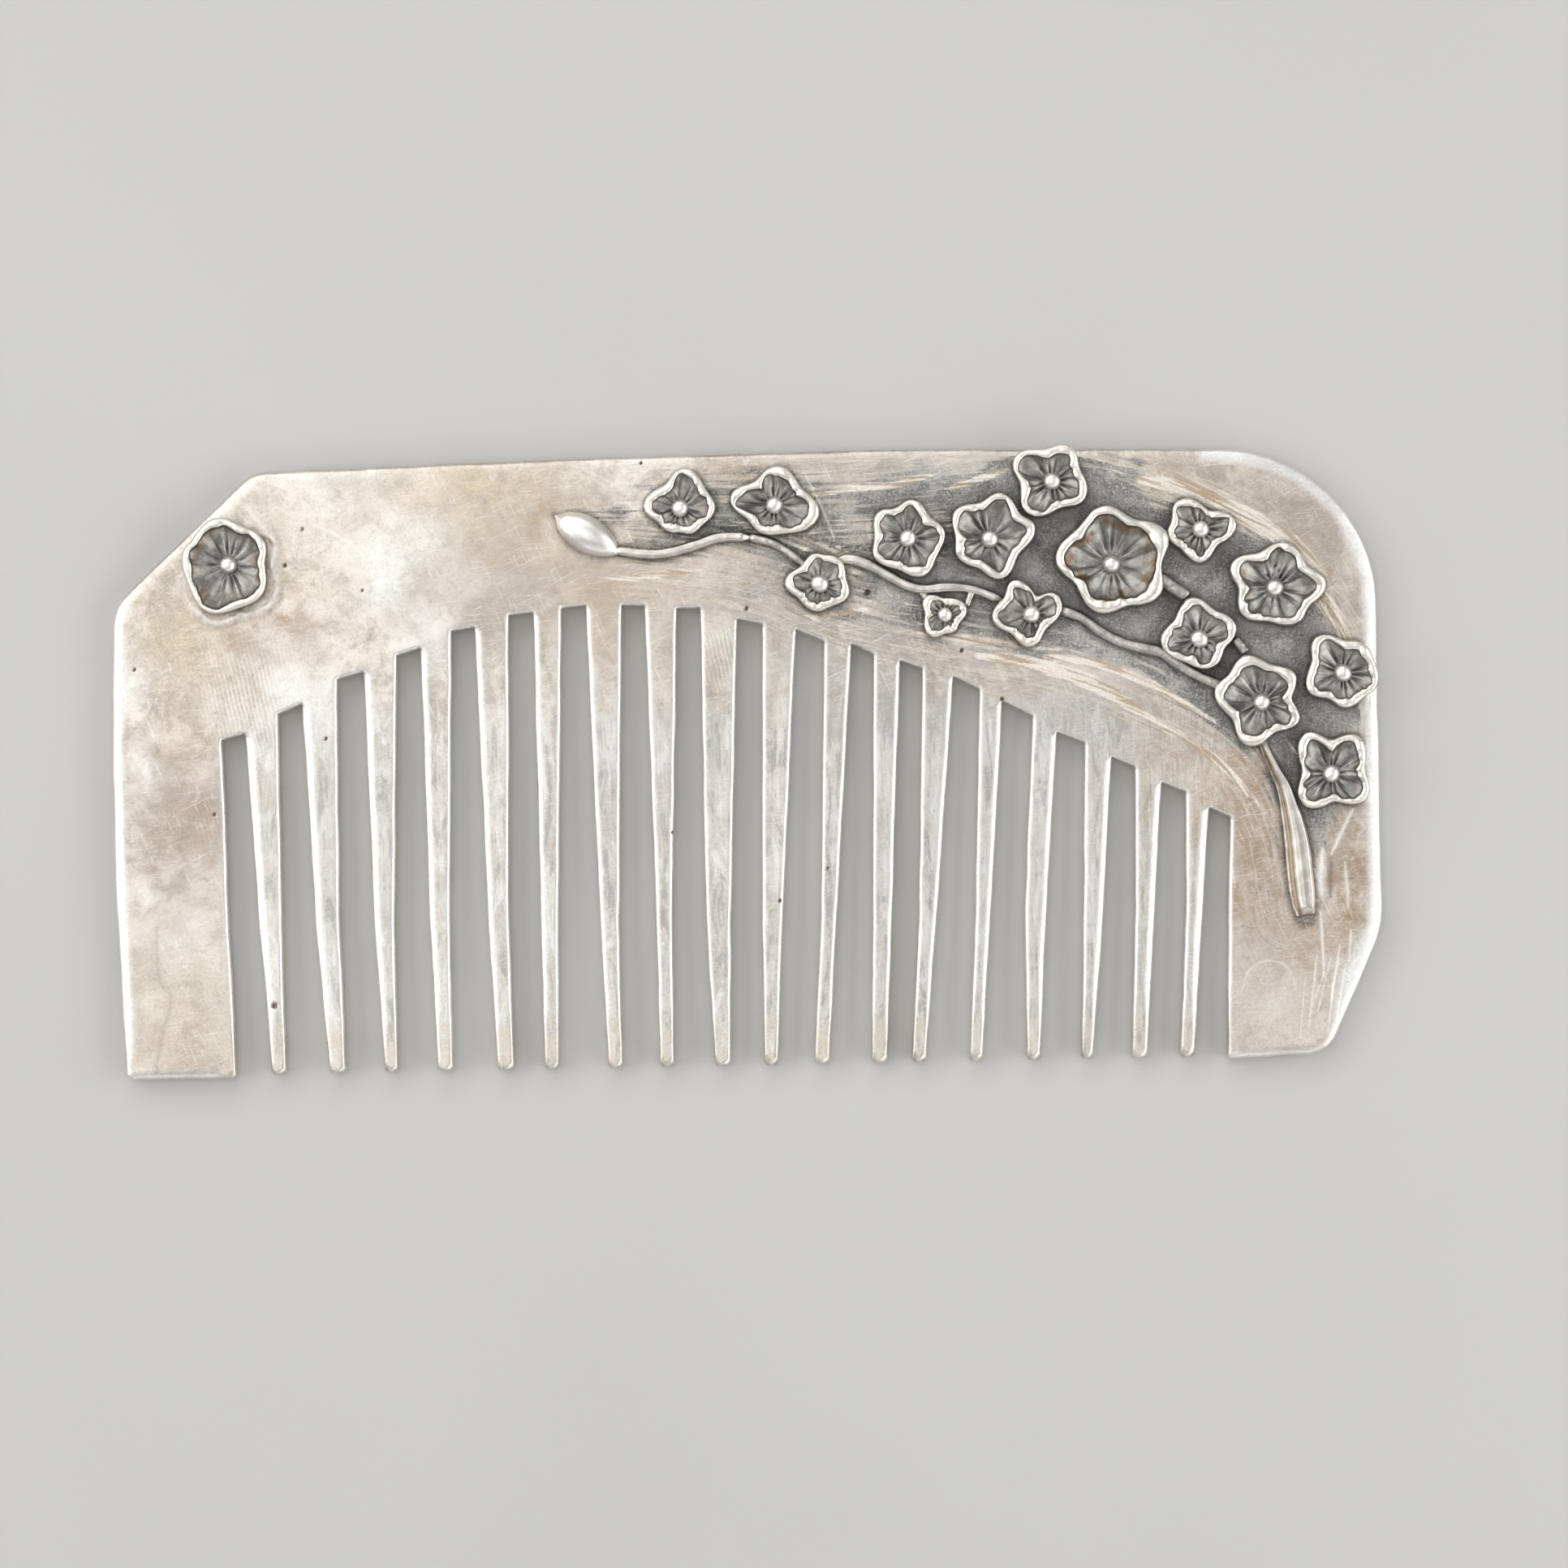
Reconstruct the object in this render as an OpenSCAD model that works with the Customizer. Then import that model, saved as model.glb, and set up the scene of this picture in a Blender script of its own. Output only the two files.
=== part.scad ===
// Flat silver hair comb with a soldered branch of plum blossom.
// The comb lies face up: X runs along its length, Y from the tooth tips to the
// top edge, and Z through the sheet. The back of the sheet is on z = 0.
// Spine, guards and teeth are stretches of one sawn sheet that meet face to face.

/* [Plate] */
// Length of the comb
comb_l = 110; // [109:0.5:112]
// Height from the tooth tips to the top of the arched edge
comb_h = 53.5; // [53:0.25:54.5]
// Thickness of the silver sheet
sheet_t = 2; // [1.5:0.1:3]
// Rise of the slightly arched top edge above its left end
top_rise = 1; // [0:0.1:1.5]
// Radius of the large top corner
top_corner_r = 13.5; // [8:0.5:15]

/* [Teeth] */
// How much shorter the teeth are than the two guards
tooth_short = 0.25; // [0:0.05:0.5]
// Corner cut at the tips of the teeth
tip_cut = 0.25; // [0.1:0.05:0.4]

/* [Blossoms] */
// Rim height of a blossom as a share of its reach
cup_rise = 0.4; // [0.25:0.05:0.5]
// Radius of the ball stamens
stamen_r = 0.75; // [0.6:0.05:0.9]
// Steps from the tip of a petal to the next notch
petal_steps = 5; // [4:1:6]

/* [Branch] */
// Height of a branch wire above the sheet, as a share of its width
wire_rise = 0.8; // [0.6:0.1:1]
// Height of the bud above the sheet
bud_rise = 1.3; // [0.8:0.1:1.6]
// Height of the trunk above the sheet
trunk_rise = 0.9; // [0.6:0.1:1.2]

/* [Hidden] */

// The plate's own zero height is datum above the ends of the guards
datum = 26.5;
// One blossom stands a little past the top edge, so the plate sits slightly low
// in the part's frame, whose origin is the middle of its outer box
plate_y = -0.35;

half_l = comb_l / 2;
low_y = -datum;
top_y = comb_h - datum;

// Inner edges of the two guards: x at the slot top, halfway down, and at the end
left_guard_x = [-45.4, -45.1, -44.7];
right_guard_x = [41.9, 41.6, 41.3];
// Each hand-sawn tooth: x of its left and right edge at the root, halfway down
// and at the tip
teeth = [
  [-43.5, -40.5, -42.6, -40.5, -41.7, -40.4],
  [-38.5, -35.3, -37.7, -35.5, -36.7, -35.2],
  [-33.1, -30.1, -32.6, -30.7, -31.9, -30.7],
  [-28.1, -25.3, -27.8, -25.9, -27.3, -25.9],
  [-23.4, -20.3, -22.7, -20.8, -22.1, -20.6],
  [-18.3, -15.7, -18.1, -16.5, -18.0, -16.7],
  [-13.7, -10.5, -13.0, -11.2, -12.5, -11.2],
  [-8.6, -5.7, -8.1, -6.6, -8.0, -6.7],
  [-3.8, -0.5, -3.8, -1.5, -3.2, -1.8],
  [1.6, 4.6, 1.1, 3.0, 1.1, 2.3],
  [6.9, 9.4, 6.2, 7.7, 5.4, 6.8],
  [11.2, 13.6, 10.7, 12.5, 10.4, 11.8],
  [15.4, 18.2, 14.7, 16.4, 13.9, 15.2],
  [20.3, 22.4, 19.6, 21.1, 18.9, 20.1],
  [24.9, 27.1, 23.9, 25.9, 23.9, 25.1],
  [29.4, 31.8, 29.0, 30.9, 28.6, 29.7],
  [33.7, 36.1, 33.5, 35.3, 33.0, 34.4],
  [38.1, 40.2, 37.9, 39.5, 37.2, 38.5]
];
// Height of each slot's top at its left and right corner, from left to right
slot_tops = [
  [2.8, 3.3], [5.0, 5.8], [7.9, 8.5], [9.9, 10.5], [11.9, 12.2], [13.2, 13.4], [13.7, 13.9],
  [13.9, 13.8], [13.5, 13.5], [12.5, 12.0], [11.5, 10.4], [10.1, 9.2], [8.6, 7.9], [7.1, 6.0],
  [4.9, 3.6], [2.1, 1.2], [-0.1, -1.0], [-2.4, -3.2], [-4.7, -5.5]
];
// Height at which the halfway stations lie
mid_y = -13.3;

// Each blossom: its place, then its hand-cut petals, clockwise. A petal is the direction
// and reach of its tip, and the direction and reach of the notch that follows it.
blossoms = [
  [[-44.5, 18.0], [
    [105, 4.2, 68, 3.55], [38, 3.78, 0, 3.2], [-48, 3.97, -78, 3.9], [-115, 4.45, -155, 3.8],
    [-200, 4.08, -216, 3.8]
  ]],
  [[-5.3, 22.2], [
    [78, 3.5, 35, 2.8], [0, 3.12, -42, 2.5], [-62, 2.5, -92, 2.15], [-112, 2.32, -145, 2.28],
    [-183, 3.12, -238, 2.42]
  ]],
  [[2.9, 22.3], [
    [82, 3.42, 34, 2.75], [-14, 4.02, -76, 2.65], [-122, 2.72, -148, 2.62],
    [-191, 3.92, -231, 2.65]
  ]],
  [[6.7, 15.4], [
    [98, 2.72, 80, 2.6], [52, 2.78, 10, 2.35], [-22, 2.7, -66, 2.26], [-100, 2.43, -146, 2.25],
    [-182, 3.03, -226, 2.25]
  ]],
  [[14.4, 19.2], [
    [82, 3.38, 43, 2.72], [8, 3.3, -28, 2.95], [-68, 3.6, -110, 2.84], [-152, 3.35, -182, 2.92],
    [-220, 3.46, -249, 2.86]
  ]],
  [[17.5, 12.5], [
    [138, 2.36, 92, 1.5], [18, 2.0, -32, 1.5], [-62, 1.68, -88, 1.66],
    [-124, 2.3, -182, 1.78]
  ]],
  [[21.5, 19.0], [
    [74, 4.13, 37, 3.42], [14, 4.1, -31, 2.85], [-74, 3.68, -112, 2.78], [-155, 3.23, -181, 2.98],
    [-218, 3.93, -256, 3.25]
  ]],
  [[25.0, 12.4], [
    [120, 3.43, 74, 1.66], [32, 2.93, -46, 1.8], [-98, 2.9, -136, 2.45],
    [-178, 3.52, -213, 2.86]
  ]],
  [[27.0, 23.9], [
    [62, 3.42, 22, 2.63], [-30, 3.3, -72, 2.5], [-130, 3.61, -174, 2.8],
    [-213, 3.92, -256, 2.86]
  ]],
  [[32.0, 16.6], [
    [96, 5.16, 65, 4.28], [30, 5.48, -4, 4.35], [-34, 4.98, -72, 3.86], [-108, 4.4, -150, 3.65],
    [-188, 4.97, -227, 4.35]
  ]],
  [[39.8, 19.5], [
    [130, 3.2, 66, 1.78], [8, 3.1, -47, 2.05], [-94, 2.98, -136, 2.5],
    [-170, 3.06, -195, 2.68]
  ]],
  [[39.5, 10.0], [
    [100, 3.67, 60, 2.88], [22, 3.46, -24, 2.36], [-64, 2.8, -118, 2.38],
    [-178, 3.43, -217, 2.78]
  ]],
  [[46.1, 14.3], [
    [72, 4.05, 35, 3.36], [4, 4.42, -32, 3.36], [-56, 3.68, -102, 3.02], [-142, 3.73, -177, 3.24],
    [-210, 4.36, -247, 3.3]
  ]],
  [[44.8, 4.4], [
    [112, 4.38, 74, 3.38], [42, 3.82, 6, 2.6], [-30, 3.63, -66, 2.88], [-110, 3.98, -150, 3.0],
    [-197, 4.28, -221, 3.8]
  ]],
  [[51.9, 6.8], [
    [128, 3.97, 84, 2.8], [52, 3.1, 22, 2.86], [-22, 3.16, -52, 2.72], [-88, 3.12, -118, 2.6],
    [-156, 3.5, -200, 2.95]
  ]],
  [[50.7, -1.9], [
    [123, 4.25, 90, 2.98], [54, 4.02, 8, 2.92], [-36, 3.69, -86, 2.46],
    [-132, 3.66, -186, 2.62]
  ]]
];
// Profile of a blossom cup, from its foot over the rim to the floor: share of
// the petal's reach, and share of the cup's height
cup_profile = [[0.8, 0], [0.94, 0.35], [1, 0.85], [0.95, 1], [0.84, 0.85], [0.6, 0.48], [0.3, 0.3]];
// Share of the stamen's height that stands above the floor of the cup
stamen_seat = 0.7;
// Blossoms of less than this mean reach have stamens this much smaller
small_reach = 2.6;
small_stamen = 0.85;

// Each wire: its route on the sheet, as [x, y, width]
branch_tip_route = [
  [-10.6, 18.4, 0.7], [-8.2, 18.3, 0.9], [-6.3, 18.4, 0.9], [-4.0, 19.0, 0.9],
  [-1.9, 19.6, 0.9], [0.6, 19.6, 0.9]
];
twig_low_route = [[0.9, 19.5, 0.8], [2.3, 19.2, 0.8], [3.6, 18.5, 0.8], [4.6, 17.6, 0.7]];
branch_middle_route = [
  [8.8, 17.5, 1.0], [10.2, 17.3, 1.0], [11.4, 16.8, 1.0], [12.6, 16.1, 0.9],
  [14.2, 15.2, 0.9], [15.7, 14.8, 0.9], [17.8, 14.9, 0.9], [19.9, 14.7, 0.8], [21.8, 13.9, 0.7]
];
twig_left_route = [[15.6, 14.3, 0.7], [15.9, 14.1, 0.7]];
twig_right_route = [[19.8, 14.2, 0.6], [19.5, 13.3, 0.6]];
branch_right_route = [
  [27.9, 12.6, 0.8], [29.5, 12.0, 0.9], [31.2, 10.7, 0.9], [33.2, 9.7, 0.9],
  [35.2, 9.2, 1.0], [36.4, 8.8, 1.0], [37.8, 7.8, 1.0], [39.4, 6.8, 0.9], [41.0, 6.1, 0.8]
];
branch_upper_route = [[36.2, 15.4, 1.1], [37.4, 14.5, 1.2], [38.5, 13.7, 1.1]];
branch_link_route = [[42.7, 9.9, 0.9], [43.1, 9.3, 0.9], [43.5, 8.8, 0.9]];
trunk_route = [
  [45.1, 0.2, 0.7], [45.9, -1.5, 1.0], [46.7, -3.2, 1.4], [47.3, -5.6, 1.9],
  [47.7, -8.0, 2.3], [47.9, -10.4, 2.4], [48.1, -12.6, 2.3], [48.3, -14.3, 1.5]
];
// Bud: its tip and its stem end, its width, and the steps along it
bud_tip = [-16.2, 21.8];
bud_stem = [-10.7, 18.4];
bud_w = 3.2;
bud_steps = 12;
// Least width of the bud's two ends as a share of its width, and how pointed it is
bud_end = 0.08;
bud_point = 0.65;
// Points over the back of a wire's half-round section
wire_sides = 6;
// Degrees between the points of a rounded corner
arc_step = 9;

silver = [0.80, 0.78, 0.74];
dark_silver = [0.45, 0.44, 0.43];
bright_silver = [0.90, 0.89, 0.86];

// ---- Plate ----

function unit(v) = v / norm(v);

// Points of an arc of radius r that rounds the corner at b of a path from a to c
function rounded(a, b, c, r) =
  let(u = unit(a - b))
  let(w = unit(c - b))
  let(half = acos(u * w) / 2)
  let(centre = b + unit(u + w) * (r / sin(half)))
  let(from = b + u * (r / tan(half)) - centre)
  let(to = b + w * (r / tan(half)) - centre)
  let(start = atan2(from[1], from[0]))
  let(turn = atan2(from[0] * to[1] - from[1] * to[0], from * to))
  let(steps = max(2, ceil(abs(turn) / arc_step)))
  [for (i = [0:steps]) centre + r * [cos(start + turn * i / steps), sin(start + turn * i / steps)]];

// Corners of the plate, clockwise from the end of the left guard, each with
// its radius; the ends on the inside of the guards stay sharp
corners = [
  [[-half_l + 0.7, low_y], 0.6],
  [[-half_l, -9], 20],
  [[-half_l + 0.3, top_y - 12.4], 4],
  [[-half_l + 12.6, top_y - top_rise], 3],
  [[-15, top_y - 0.3 * top_rise], 200],
  [[14, top_y], 200],
  [[half_l, top_y - 0.8 * top_rise], top_corner_r],
  [[half_l, -15.4], 8],
  [[half_l - 4.9, low_y + 0.35], 2.5]
];
left_end = [left_guard_x[2], low_y];
right_end = [right_guard_x[2], low_y];

function corner(i) = i < 0 ? left_end : (i >= len(corners) ? right_end : corners[i][0]);

function edge_points(first, last) = [
  for (i = [first:last])
    each rounded(corner(i - 1), corner(i), corner(i + 1), corners[i][1])
];

// Edges of slot i, which is left of tooth i: x at the root, halfway and at the end
function slot_left(i) = i == 0 ? left_guard_x : [teeth[i - 1][1], teeth[i - 1][3], teeth[i - 1][5]];
function slot_right(i) = i == len(teeth) ? right_guard_x : [teeth[i][0], teeth[i][2], teeth[i][4]];
function slot_corner_left(i) = [slot_left(i)[0], slot_tops[i][0]];
function slot_corner_right(i) = [slot_right(i)[0], slot_tops[i][1]];

// The guards meet the spine on a level line from the outermost slot corners
left_cut = slot_corner_left(0);
right_cut = slot_corner_right(len(teeth));

// A stretch of the sheet
module sheet(outline) {
  color(silver)
    translate([0, plate_y, 0])
      linear_extrude(sheet_t)
        polygon(outline);
}

module spine() {
  sheet(concat(
    [[-half_l, left_cut[1]]],
    edge_points(2, 6),
    [[half_l, right_cut[1]]],
    [for (i = [len(teeth):-1:0]) each [slot_corner_right(i), slot_corner_left(i)]]
  ));
}

module left_guard() {
  sheet(concat(
    [left_end],
    edge_points(0, 1),
    [[-half_l, left_cut[1]], left_cut, [left_guard_x[1], mid_y]]
  ));
}

module right_guard() {
  sheet(concat(
    [[right_guard_x[1], mid_y], right_cut, [half_l, right_cut[1]]],
    edge_points(7, 8),
    [right_end]
  ));
}

// Tooth i, from its root in the spine round its cut tip
module tooth(i) {
  t = teeth[i];
  tip_y = low_y + tooth_short;
  sheet([
    slot_corner_right(i), slot_corner_left(i + 1), [t[3], mid_y],
    [t[5], tip_y + tip_cut], [t[5] - tip_cut, tip_y],
    [t[4] + tip_cut, tip_y], [t[4], tip_y + tip_cut], [t[2], mid_y]
  ]);
}

module teeth_row() {
  for (i = [0:len(teeth) - 1])
    tooth(i);
}

// ---- Blossoms ----

// Outline of a blossom as [direction, reach], clockwise, swinging smoothly from tip to notch
function blossom_outline(petals) =
  let(turns = [for (p = petals) each [[p[0], p[1]], [p[2], p[3]]]])
  let(first = petals[0])
  let(path = concat(turns, [[first[0] - 360, first[1]]]))
  [
    for (k = [0:len(turns) - 1])
      let(from = path[k])
      let(to = path[k + 1])
      for (s = [0:petal_steps - 1])
        let(t = s / petal_steps)
        [from[0] + (to[0] - from[0]) * t, from[1] + (to[1] - from[1]) * (1 - cos(180 * t)) / 2]
  ];

function mean_reach(petals) = [for (p = petals) p[1]] * [for (p = petals) 1] / len(petals);
function cup_height(petals) = cup_rise * mean_reach(petals);

// One cup, as rings of points joined from the foot over the rim to the floor
module blossom(n) {
  place = blossoms[n][0];
  petals = blossoms[n][1];
  outline = blossom_outline(petals);
  sides = len(outline);
  rings = len(cup_profile);
  high = cup_height(petals);
  points = [
    for (ring = cup_profile)
      for (o = outline)
        [ring[0] * o[1] * cos(o[0]), ring[0] * o[1] * sin(o[0]), ring[1] * high]
  ];
  foot = [for (i = [0:sides - 1]) sides - 1 - i];
  walls = [
    for (r = [0:rings - 2])
      for (i = [0:sides - 1])
        let(j = (i + 1) % sides)
        [r * sides + i, r * sides + j, (r + 1) * sides + j, (r + 1) * sides + i]
  ];
  floor_face = [for (i = [0:sides - 1]) (rings - 1) * sides + i];
  color(dark_silver)
    translate([place[0], place[1] + plate_y, sheet_t])
      polyhedron(points, concat([foot], walls, [floor_face]), convexity = 4);
}

// Ball on the floor of a cup, cut flat where it is soldered
module stamen(n) {
  place = blossoms[n][0];
  petals = blossoms[n][1];
  floor_z = sheet_t + cup_profile[len(cup_profile) - 1][1] * cup_height(petals);
  r = stamen_r * (mean_reach(petals) < small_reach ? small_stamen : 1);
  color(bright_silver)
    translate([place[0], place[1] + plate_y, floor_z])
      intersection() {
        translate([0, 0, r * (2 * stamen_seat - 1)])
          sphere(r, $fn = 32);
        translate([-r, -r, 0])
          cube(2 * r);
      }
}

// ---- Branch ----

// Half-round bar along a route of [x, y, width], flat on the sheet
module relief(route, rise) {
  count = len(route);
  flat = [for (p = route) [p[0], p[1]]];
  side = [
    for (i = [0:count - 1])
      let(along = unit(flat[min(i + 1, count - 1)] - flat[max(i - 1, 0)]))
      [-along[1], along[0]]
  ];
  points = [
    for (i = [0:count - 1])
      for (k = [0:wire_sides])
        let(a = 180 * k / wire_sides)
        let(xy = flat[i] + side[i] * (route[i][2] / 2 * cos(a)))
        [xy[0], xy[1], rise * route[i][2] * sin(a)]
  ];
  ring = wire_sides + 1;
  skin = [
    for (i = [0:count - 2])
      for (k = [0:wire_sides])
        let(m = (k + 1) % ring)
        [i * ring + k, i * ring + m, (i + 1) * ring + m, (i + 1) * ring + k]
  ];
  first = [for (k = [0:wire_sides]) wire_sides - k];
  last = [for (k = [0:wire_sides]) (count - 1) * ring + k];
  translate([0, plate_y, sheet_t])
    polyhedron(points, concat([first], skin, [last]), convexity = 4);
}

module wire(route) {
  color(silver)
    relief(route, wire_rise);
}

module trunk() {
  color(bright_silver)
    relief(trunk_route, trunk_rise / 2);
}

// Width of the bud at share t of its length
function bud_width(t) = bud_w * max(bud_end, pow(sin(180 * t), bud_point));

module bud() {
  route = [
    for (i = [0:bud_steps])
      let(t = i / bud_steps)
      let(p = bud_tip + (bud_stem - bud_tip) * t)
      [p[0], p[1], bud_width(t)]
  ];
  color(bright_silver)
    relief(route, bud_rise / bud_w);
}

function two_digits(n) = n < 10 ? str("0", n) : str(n);

spine();
left_guard();
right_guard();
teeth_row();  // teeth
for (n = [0:len(blossoms) - 1]) {
  blossom(n);
  stamen(n);
}
bud();
wire(branch_tip_route);  // branch_tip
wire(twig_low_route);  // twig_low
wire(branch_middle_route);  // branch_middle
wire(twig_left_route);  // twig_left
wire(twig_right_route);  // twig_right
wire(branch_right_route);  // branch_right
wire(branch_upper_route);  // branch_upper
wire(branch_link_route);  // branch_link
trunk();
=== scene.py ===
"""Looks of a flat silver hair comb with a soldered branch of blossom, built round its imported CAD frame.

Sizes in this file are in millimetres unless a comment says otherwise, and become metres when a mesh is made.
"""

import math

import bpy
import numpy as np
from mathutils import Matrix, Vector
from mathutils.geometry import delaunay_2d_cdt
from mathutils.kdtree import KDTree


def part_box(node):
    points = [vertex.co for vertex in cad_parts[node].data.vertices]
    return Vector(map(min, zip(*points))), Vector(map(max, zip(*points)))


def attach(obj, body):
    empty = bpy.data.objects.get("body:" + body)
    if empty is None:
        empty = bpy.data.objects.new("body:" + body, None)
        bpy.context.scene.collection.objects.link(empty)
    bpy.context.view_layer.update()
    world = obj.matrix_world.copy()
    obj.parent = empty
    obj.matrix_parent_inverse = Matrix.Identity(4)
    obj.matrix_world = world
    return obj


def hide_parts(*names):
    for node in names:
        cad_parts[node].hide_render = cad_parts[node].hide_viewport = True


MM = 0.001
SEED = 11

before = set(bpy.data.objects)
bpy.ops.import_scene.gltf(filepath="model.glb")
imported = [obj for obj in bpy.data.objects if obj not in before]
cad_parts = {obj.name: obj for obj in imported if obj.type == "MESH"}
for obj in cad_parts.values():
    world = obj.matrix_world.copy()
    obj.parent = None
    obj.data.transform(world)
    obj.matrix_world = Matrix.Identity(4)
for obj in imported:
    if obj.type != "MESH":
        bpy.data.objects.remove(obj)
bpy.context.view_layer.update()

# ---- The comb's measures ----

SHEET_NODES = ("spine", "left_guard", "right_guard", "teeth")
SHEET_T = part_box("spine")[1].z / MM
# Shift of the plate in the part's frame; routes below are measured from the plate's own zero
PLATE_Y = -0.35
BLOSSOM_COUNT = 16


# ---- Small helpers ----


def smooth_step(low, high, x):
    t = np.clip((x - low) / (high - low), 0, 1)
    return t * t * (3 - 2 * t)


def bell(x, width):
    return np.exp(-((x / width) ** 2))


def smoothed(values):
    """Each value of a closed line, averaged with its two neighbours."""
    return (np.roll(values, 1, axis=0) + 2 * values + np.roll(values, -1, axis=0)) / 4


def toward(degrees):
    """Steps of length 1 along x and y in the given directions."""
    return np.cos(np.radians(degrees)), np.sin(np.radians(degrees))


def turn_gap(a, b):
    """Signed difference between two directions in degrees."""
    return (np.asarray(a) - b + 180) % 360 - 180


def tree_of(points):
    tree = KDTree(len(points))
    for i, p in enumerate(points):
        tree.insert((p[0], p[1], 0), i)
    tree.balance()
    return tree


def quads(rows, columns, corners):
    """Faces between closed rings of points. Corners are the (ring, point) steps round each quad."""
    return [
        [(row + down) * columns + (i + along) % columns for down, along in corners]
        for row in range(rows)
        for i in range(columns)
    ]


class Noise:
    """Smooth repeatable noise in the plane, from about -1 to 1."""

    SIZE = 64

    def __init__(self, seed):
        self.table = np.random.default_rng(seed).uniform(-1, 1, (self.SIZE, self.SIZE))

    def __call__(self, x, y, octaves=1):
        total = 0
        weight = 1
        for _ in range(octaves):
            total = total + weight * self.once(x, y)
            x, y = x * 2.03 + 17.3, y * 2.03 - 9.1
            weight *= 0.5
        return total

    def once(self, x, y):
        x, y = np.broadcast_arrays(np.asarray(x, float), np.asarray(y, float))
        i, j = np.floor(x).astype(int), np.floor(y).astype(int)
        u, v = x - i, y - j
        u, v = u * u * (3 - 2 * u), v * v * (3 - 2 * v)
        pick = lambda a, b: self.table[a % self.SIZE, b % self.SIZE]
        low = pick(i, j) * (1 - u) + pick(i + 1, j) * u
        high = pick(i, j + 1) * (1 - u) + pick(i + 1, j + 1) * u
        return low * (1 - v) + high * v


wave_noise = Noise(SEED)
spot_noise = Noise(SEED + 1)


def make_mesh(name, verts, faces, material, attributes, replaced, body="root"):
    """A smooth-shaded piece from points in millimetres, which rides on a body and stands for CAD nodes."""
    mesh = bpy.data.meshes.new(name)
    mesh.from_pydata((np.asarray(verts, float) * MM).tolist(), [], faces)
    mesh.polygons.foreach_set("use_smooth", [True] * len(mesh.polygons))
    for key, values in attributes.items():
        layer = mesh.attributes.new(key, "FLOAT", "POINT")
        layer.data.foreach_set("value", np.asarray(values, np.float32))
    mesh.update()
    obj = bpy.data.objects.new(name, mesh)
    bpy.context.scene.collection.objects.link(obj)
    obj.data.materials.append(material)
    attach(obj, body)
    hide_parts(*replaced)
    return obj


# ---- Materials ----


class Shader:
    """A node material with one Principled shader, and short calls that add nodes to it."""

    def __init__(self, name, **sockets):
        self.material = bpy.data.materials.new(name)
        self.material.use_nodes = True
        self.tree = self.material.node_tree
        self.shader = self.tree.nodes["Principled BSDF"]
        for key, value in sockets.items():
            self.shader.inputs[key].default_value = value
        here = self.node("ShaderNodeTexCoord").outputs["Object"]
        self.place = self.scaled(here, (1 / MM, 1 / MM, 1 / MM))

    def node(self, kind, inputs=None, **settings):
        n = self.tree.nodes.new(kind)
        for key, value in settings.items():
            setattr(n, key, value)
        for key, value in (inputs or {}).items():
            self.feed(n.inputs[key], value)
        return n

    def feed(self, socket, value):
        if isinstance(value, bpy.types.NodeSocket):
            self.tree.links.new(value, socket)
        else:
            socket.default_value = value

    def set(self, name, value):
        self.feed(self.shader.inputs[name], value)

    def math(self, operation, a, b, clamp=False):
        return self.node("ShaderNodeMath", {0: a, 1: b}, operation=operation, use_clamp=clamp).outputs[0]

    def times(self, a, b):
        return self.math("MULTIPLY", a, b)

    def plus(self, a, b):
        return self.math("ADD", a, b)

    def scaled(self, place, scale):
        return self.node("ShaderNodeVectorMath", {0: place, 1: scale}, operation="MULTIPLY").outputs[0]

    def attribute(self, name):
        return self.node("ShaderNodeAttribute", attribute_name=name).outputs["Fac"]

    def marked(self, name, share):
        """A share that shows only where the mesh carries the named mark."""
        return self.times(self.attribute(name), share)

    def noise(self, scale, detail=2.0, rough=0.5, place=None, distortion=0.0):
        inputs = {"Vector": place or self.place, "Scale": scale, "Detail": detail, "Roughness": rough}
        inputs["Distortion"] = distortion
        return self.node("ShaderNodeTexNoise", inputs).outputs["Fac"]

    def stretched(self, scale, turn=0.0):
        """Place in millimetres, turned by an angle in degrees and scaled along each axis."""
        rotation = (0, 0, math.radians(turn))
        turned = self.node("ShaderNodeMapping", {"Vector": self.place, "Rotation": rotation})
        return self.scaled(turned.outputs[0], scale)

    def cells(self, scale):
        return self.node("ShaderNodeTexVoronoi", {"Vector": self.place, "Scale": scale}).outputs["Distance"]

    def span(self, value, low, high, to_low=0.0, to_high=1.0):
        inputs = {"Value": value, "From Min": low, "From Max": high, "To Min": to_low, "To Max": to_high}
        return self.node("ShaderNodeMapRange", inputs, interpolation_type="SMOOTHSTEP").outputs[0]

    def mix(self, share, a, b, blend="MIX"):
        n = self.node("ShaderNodeMix", {0: share}, data_type="RGBA", blend_type=blend)
        for socket, colour in ((n.inputs[6], a), (n.inputs[7], b)):
            self.feed(socket, (*colour, 1) if isinstance(colour, tuple) else colour)
        return n.outputs[2]

    def layers(self, colour, *layers):
        """A colour with tones laid over it one after another, each by its share."""
        for share, tone in layers:
            colour = self.mix(share, colour, tone)
        return colour

    def darkened(self, share, colour, tone):
        """A colour multiplied by a tone, by a share."""
        return self.mix(share, colour, self.mix(1.0, colour, tone, "MULTIPLY"))

    def bump(self, height, distance, strength, below=None):
        inputs = {"Height": height, "Distance": distance * MM, "Strength": strength}
        if below is not None:
            inputs["Normal"] = below
        return self.node("ShaderNodeBump", inputs).outputs[0]


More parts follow.
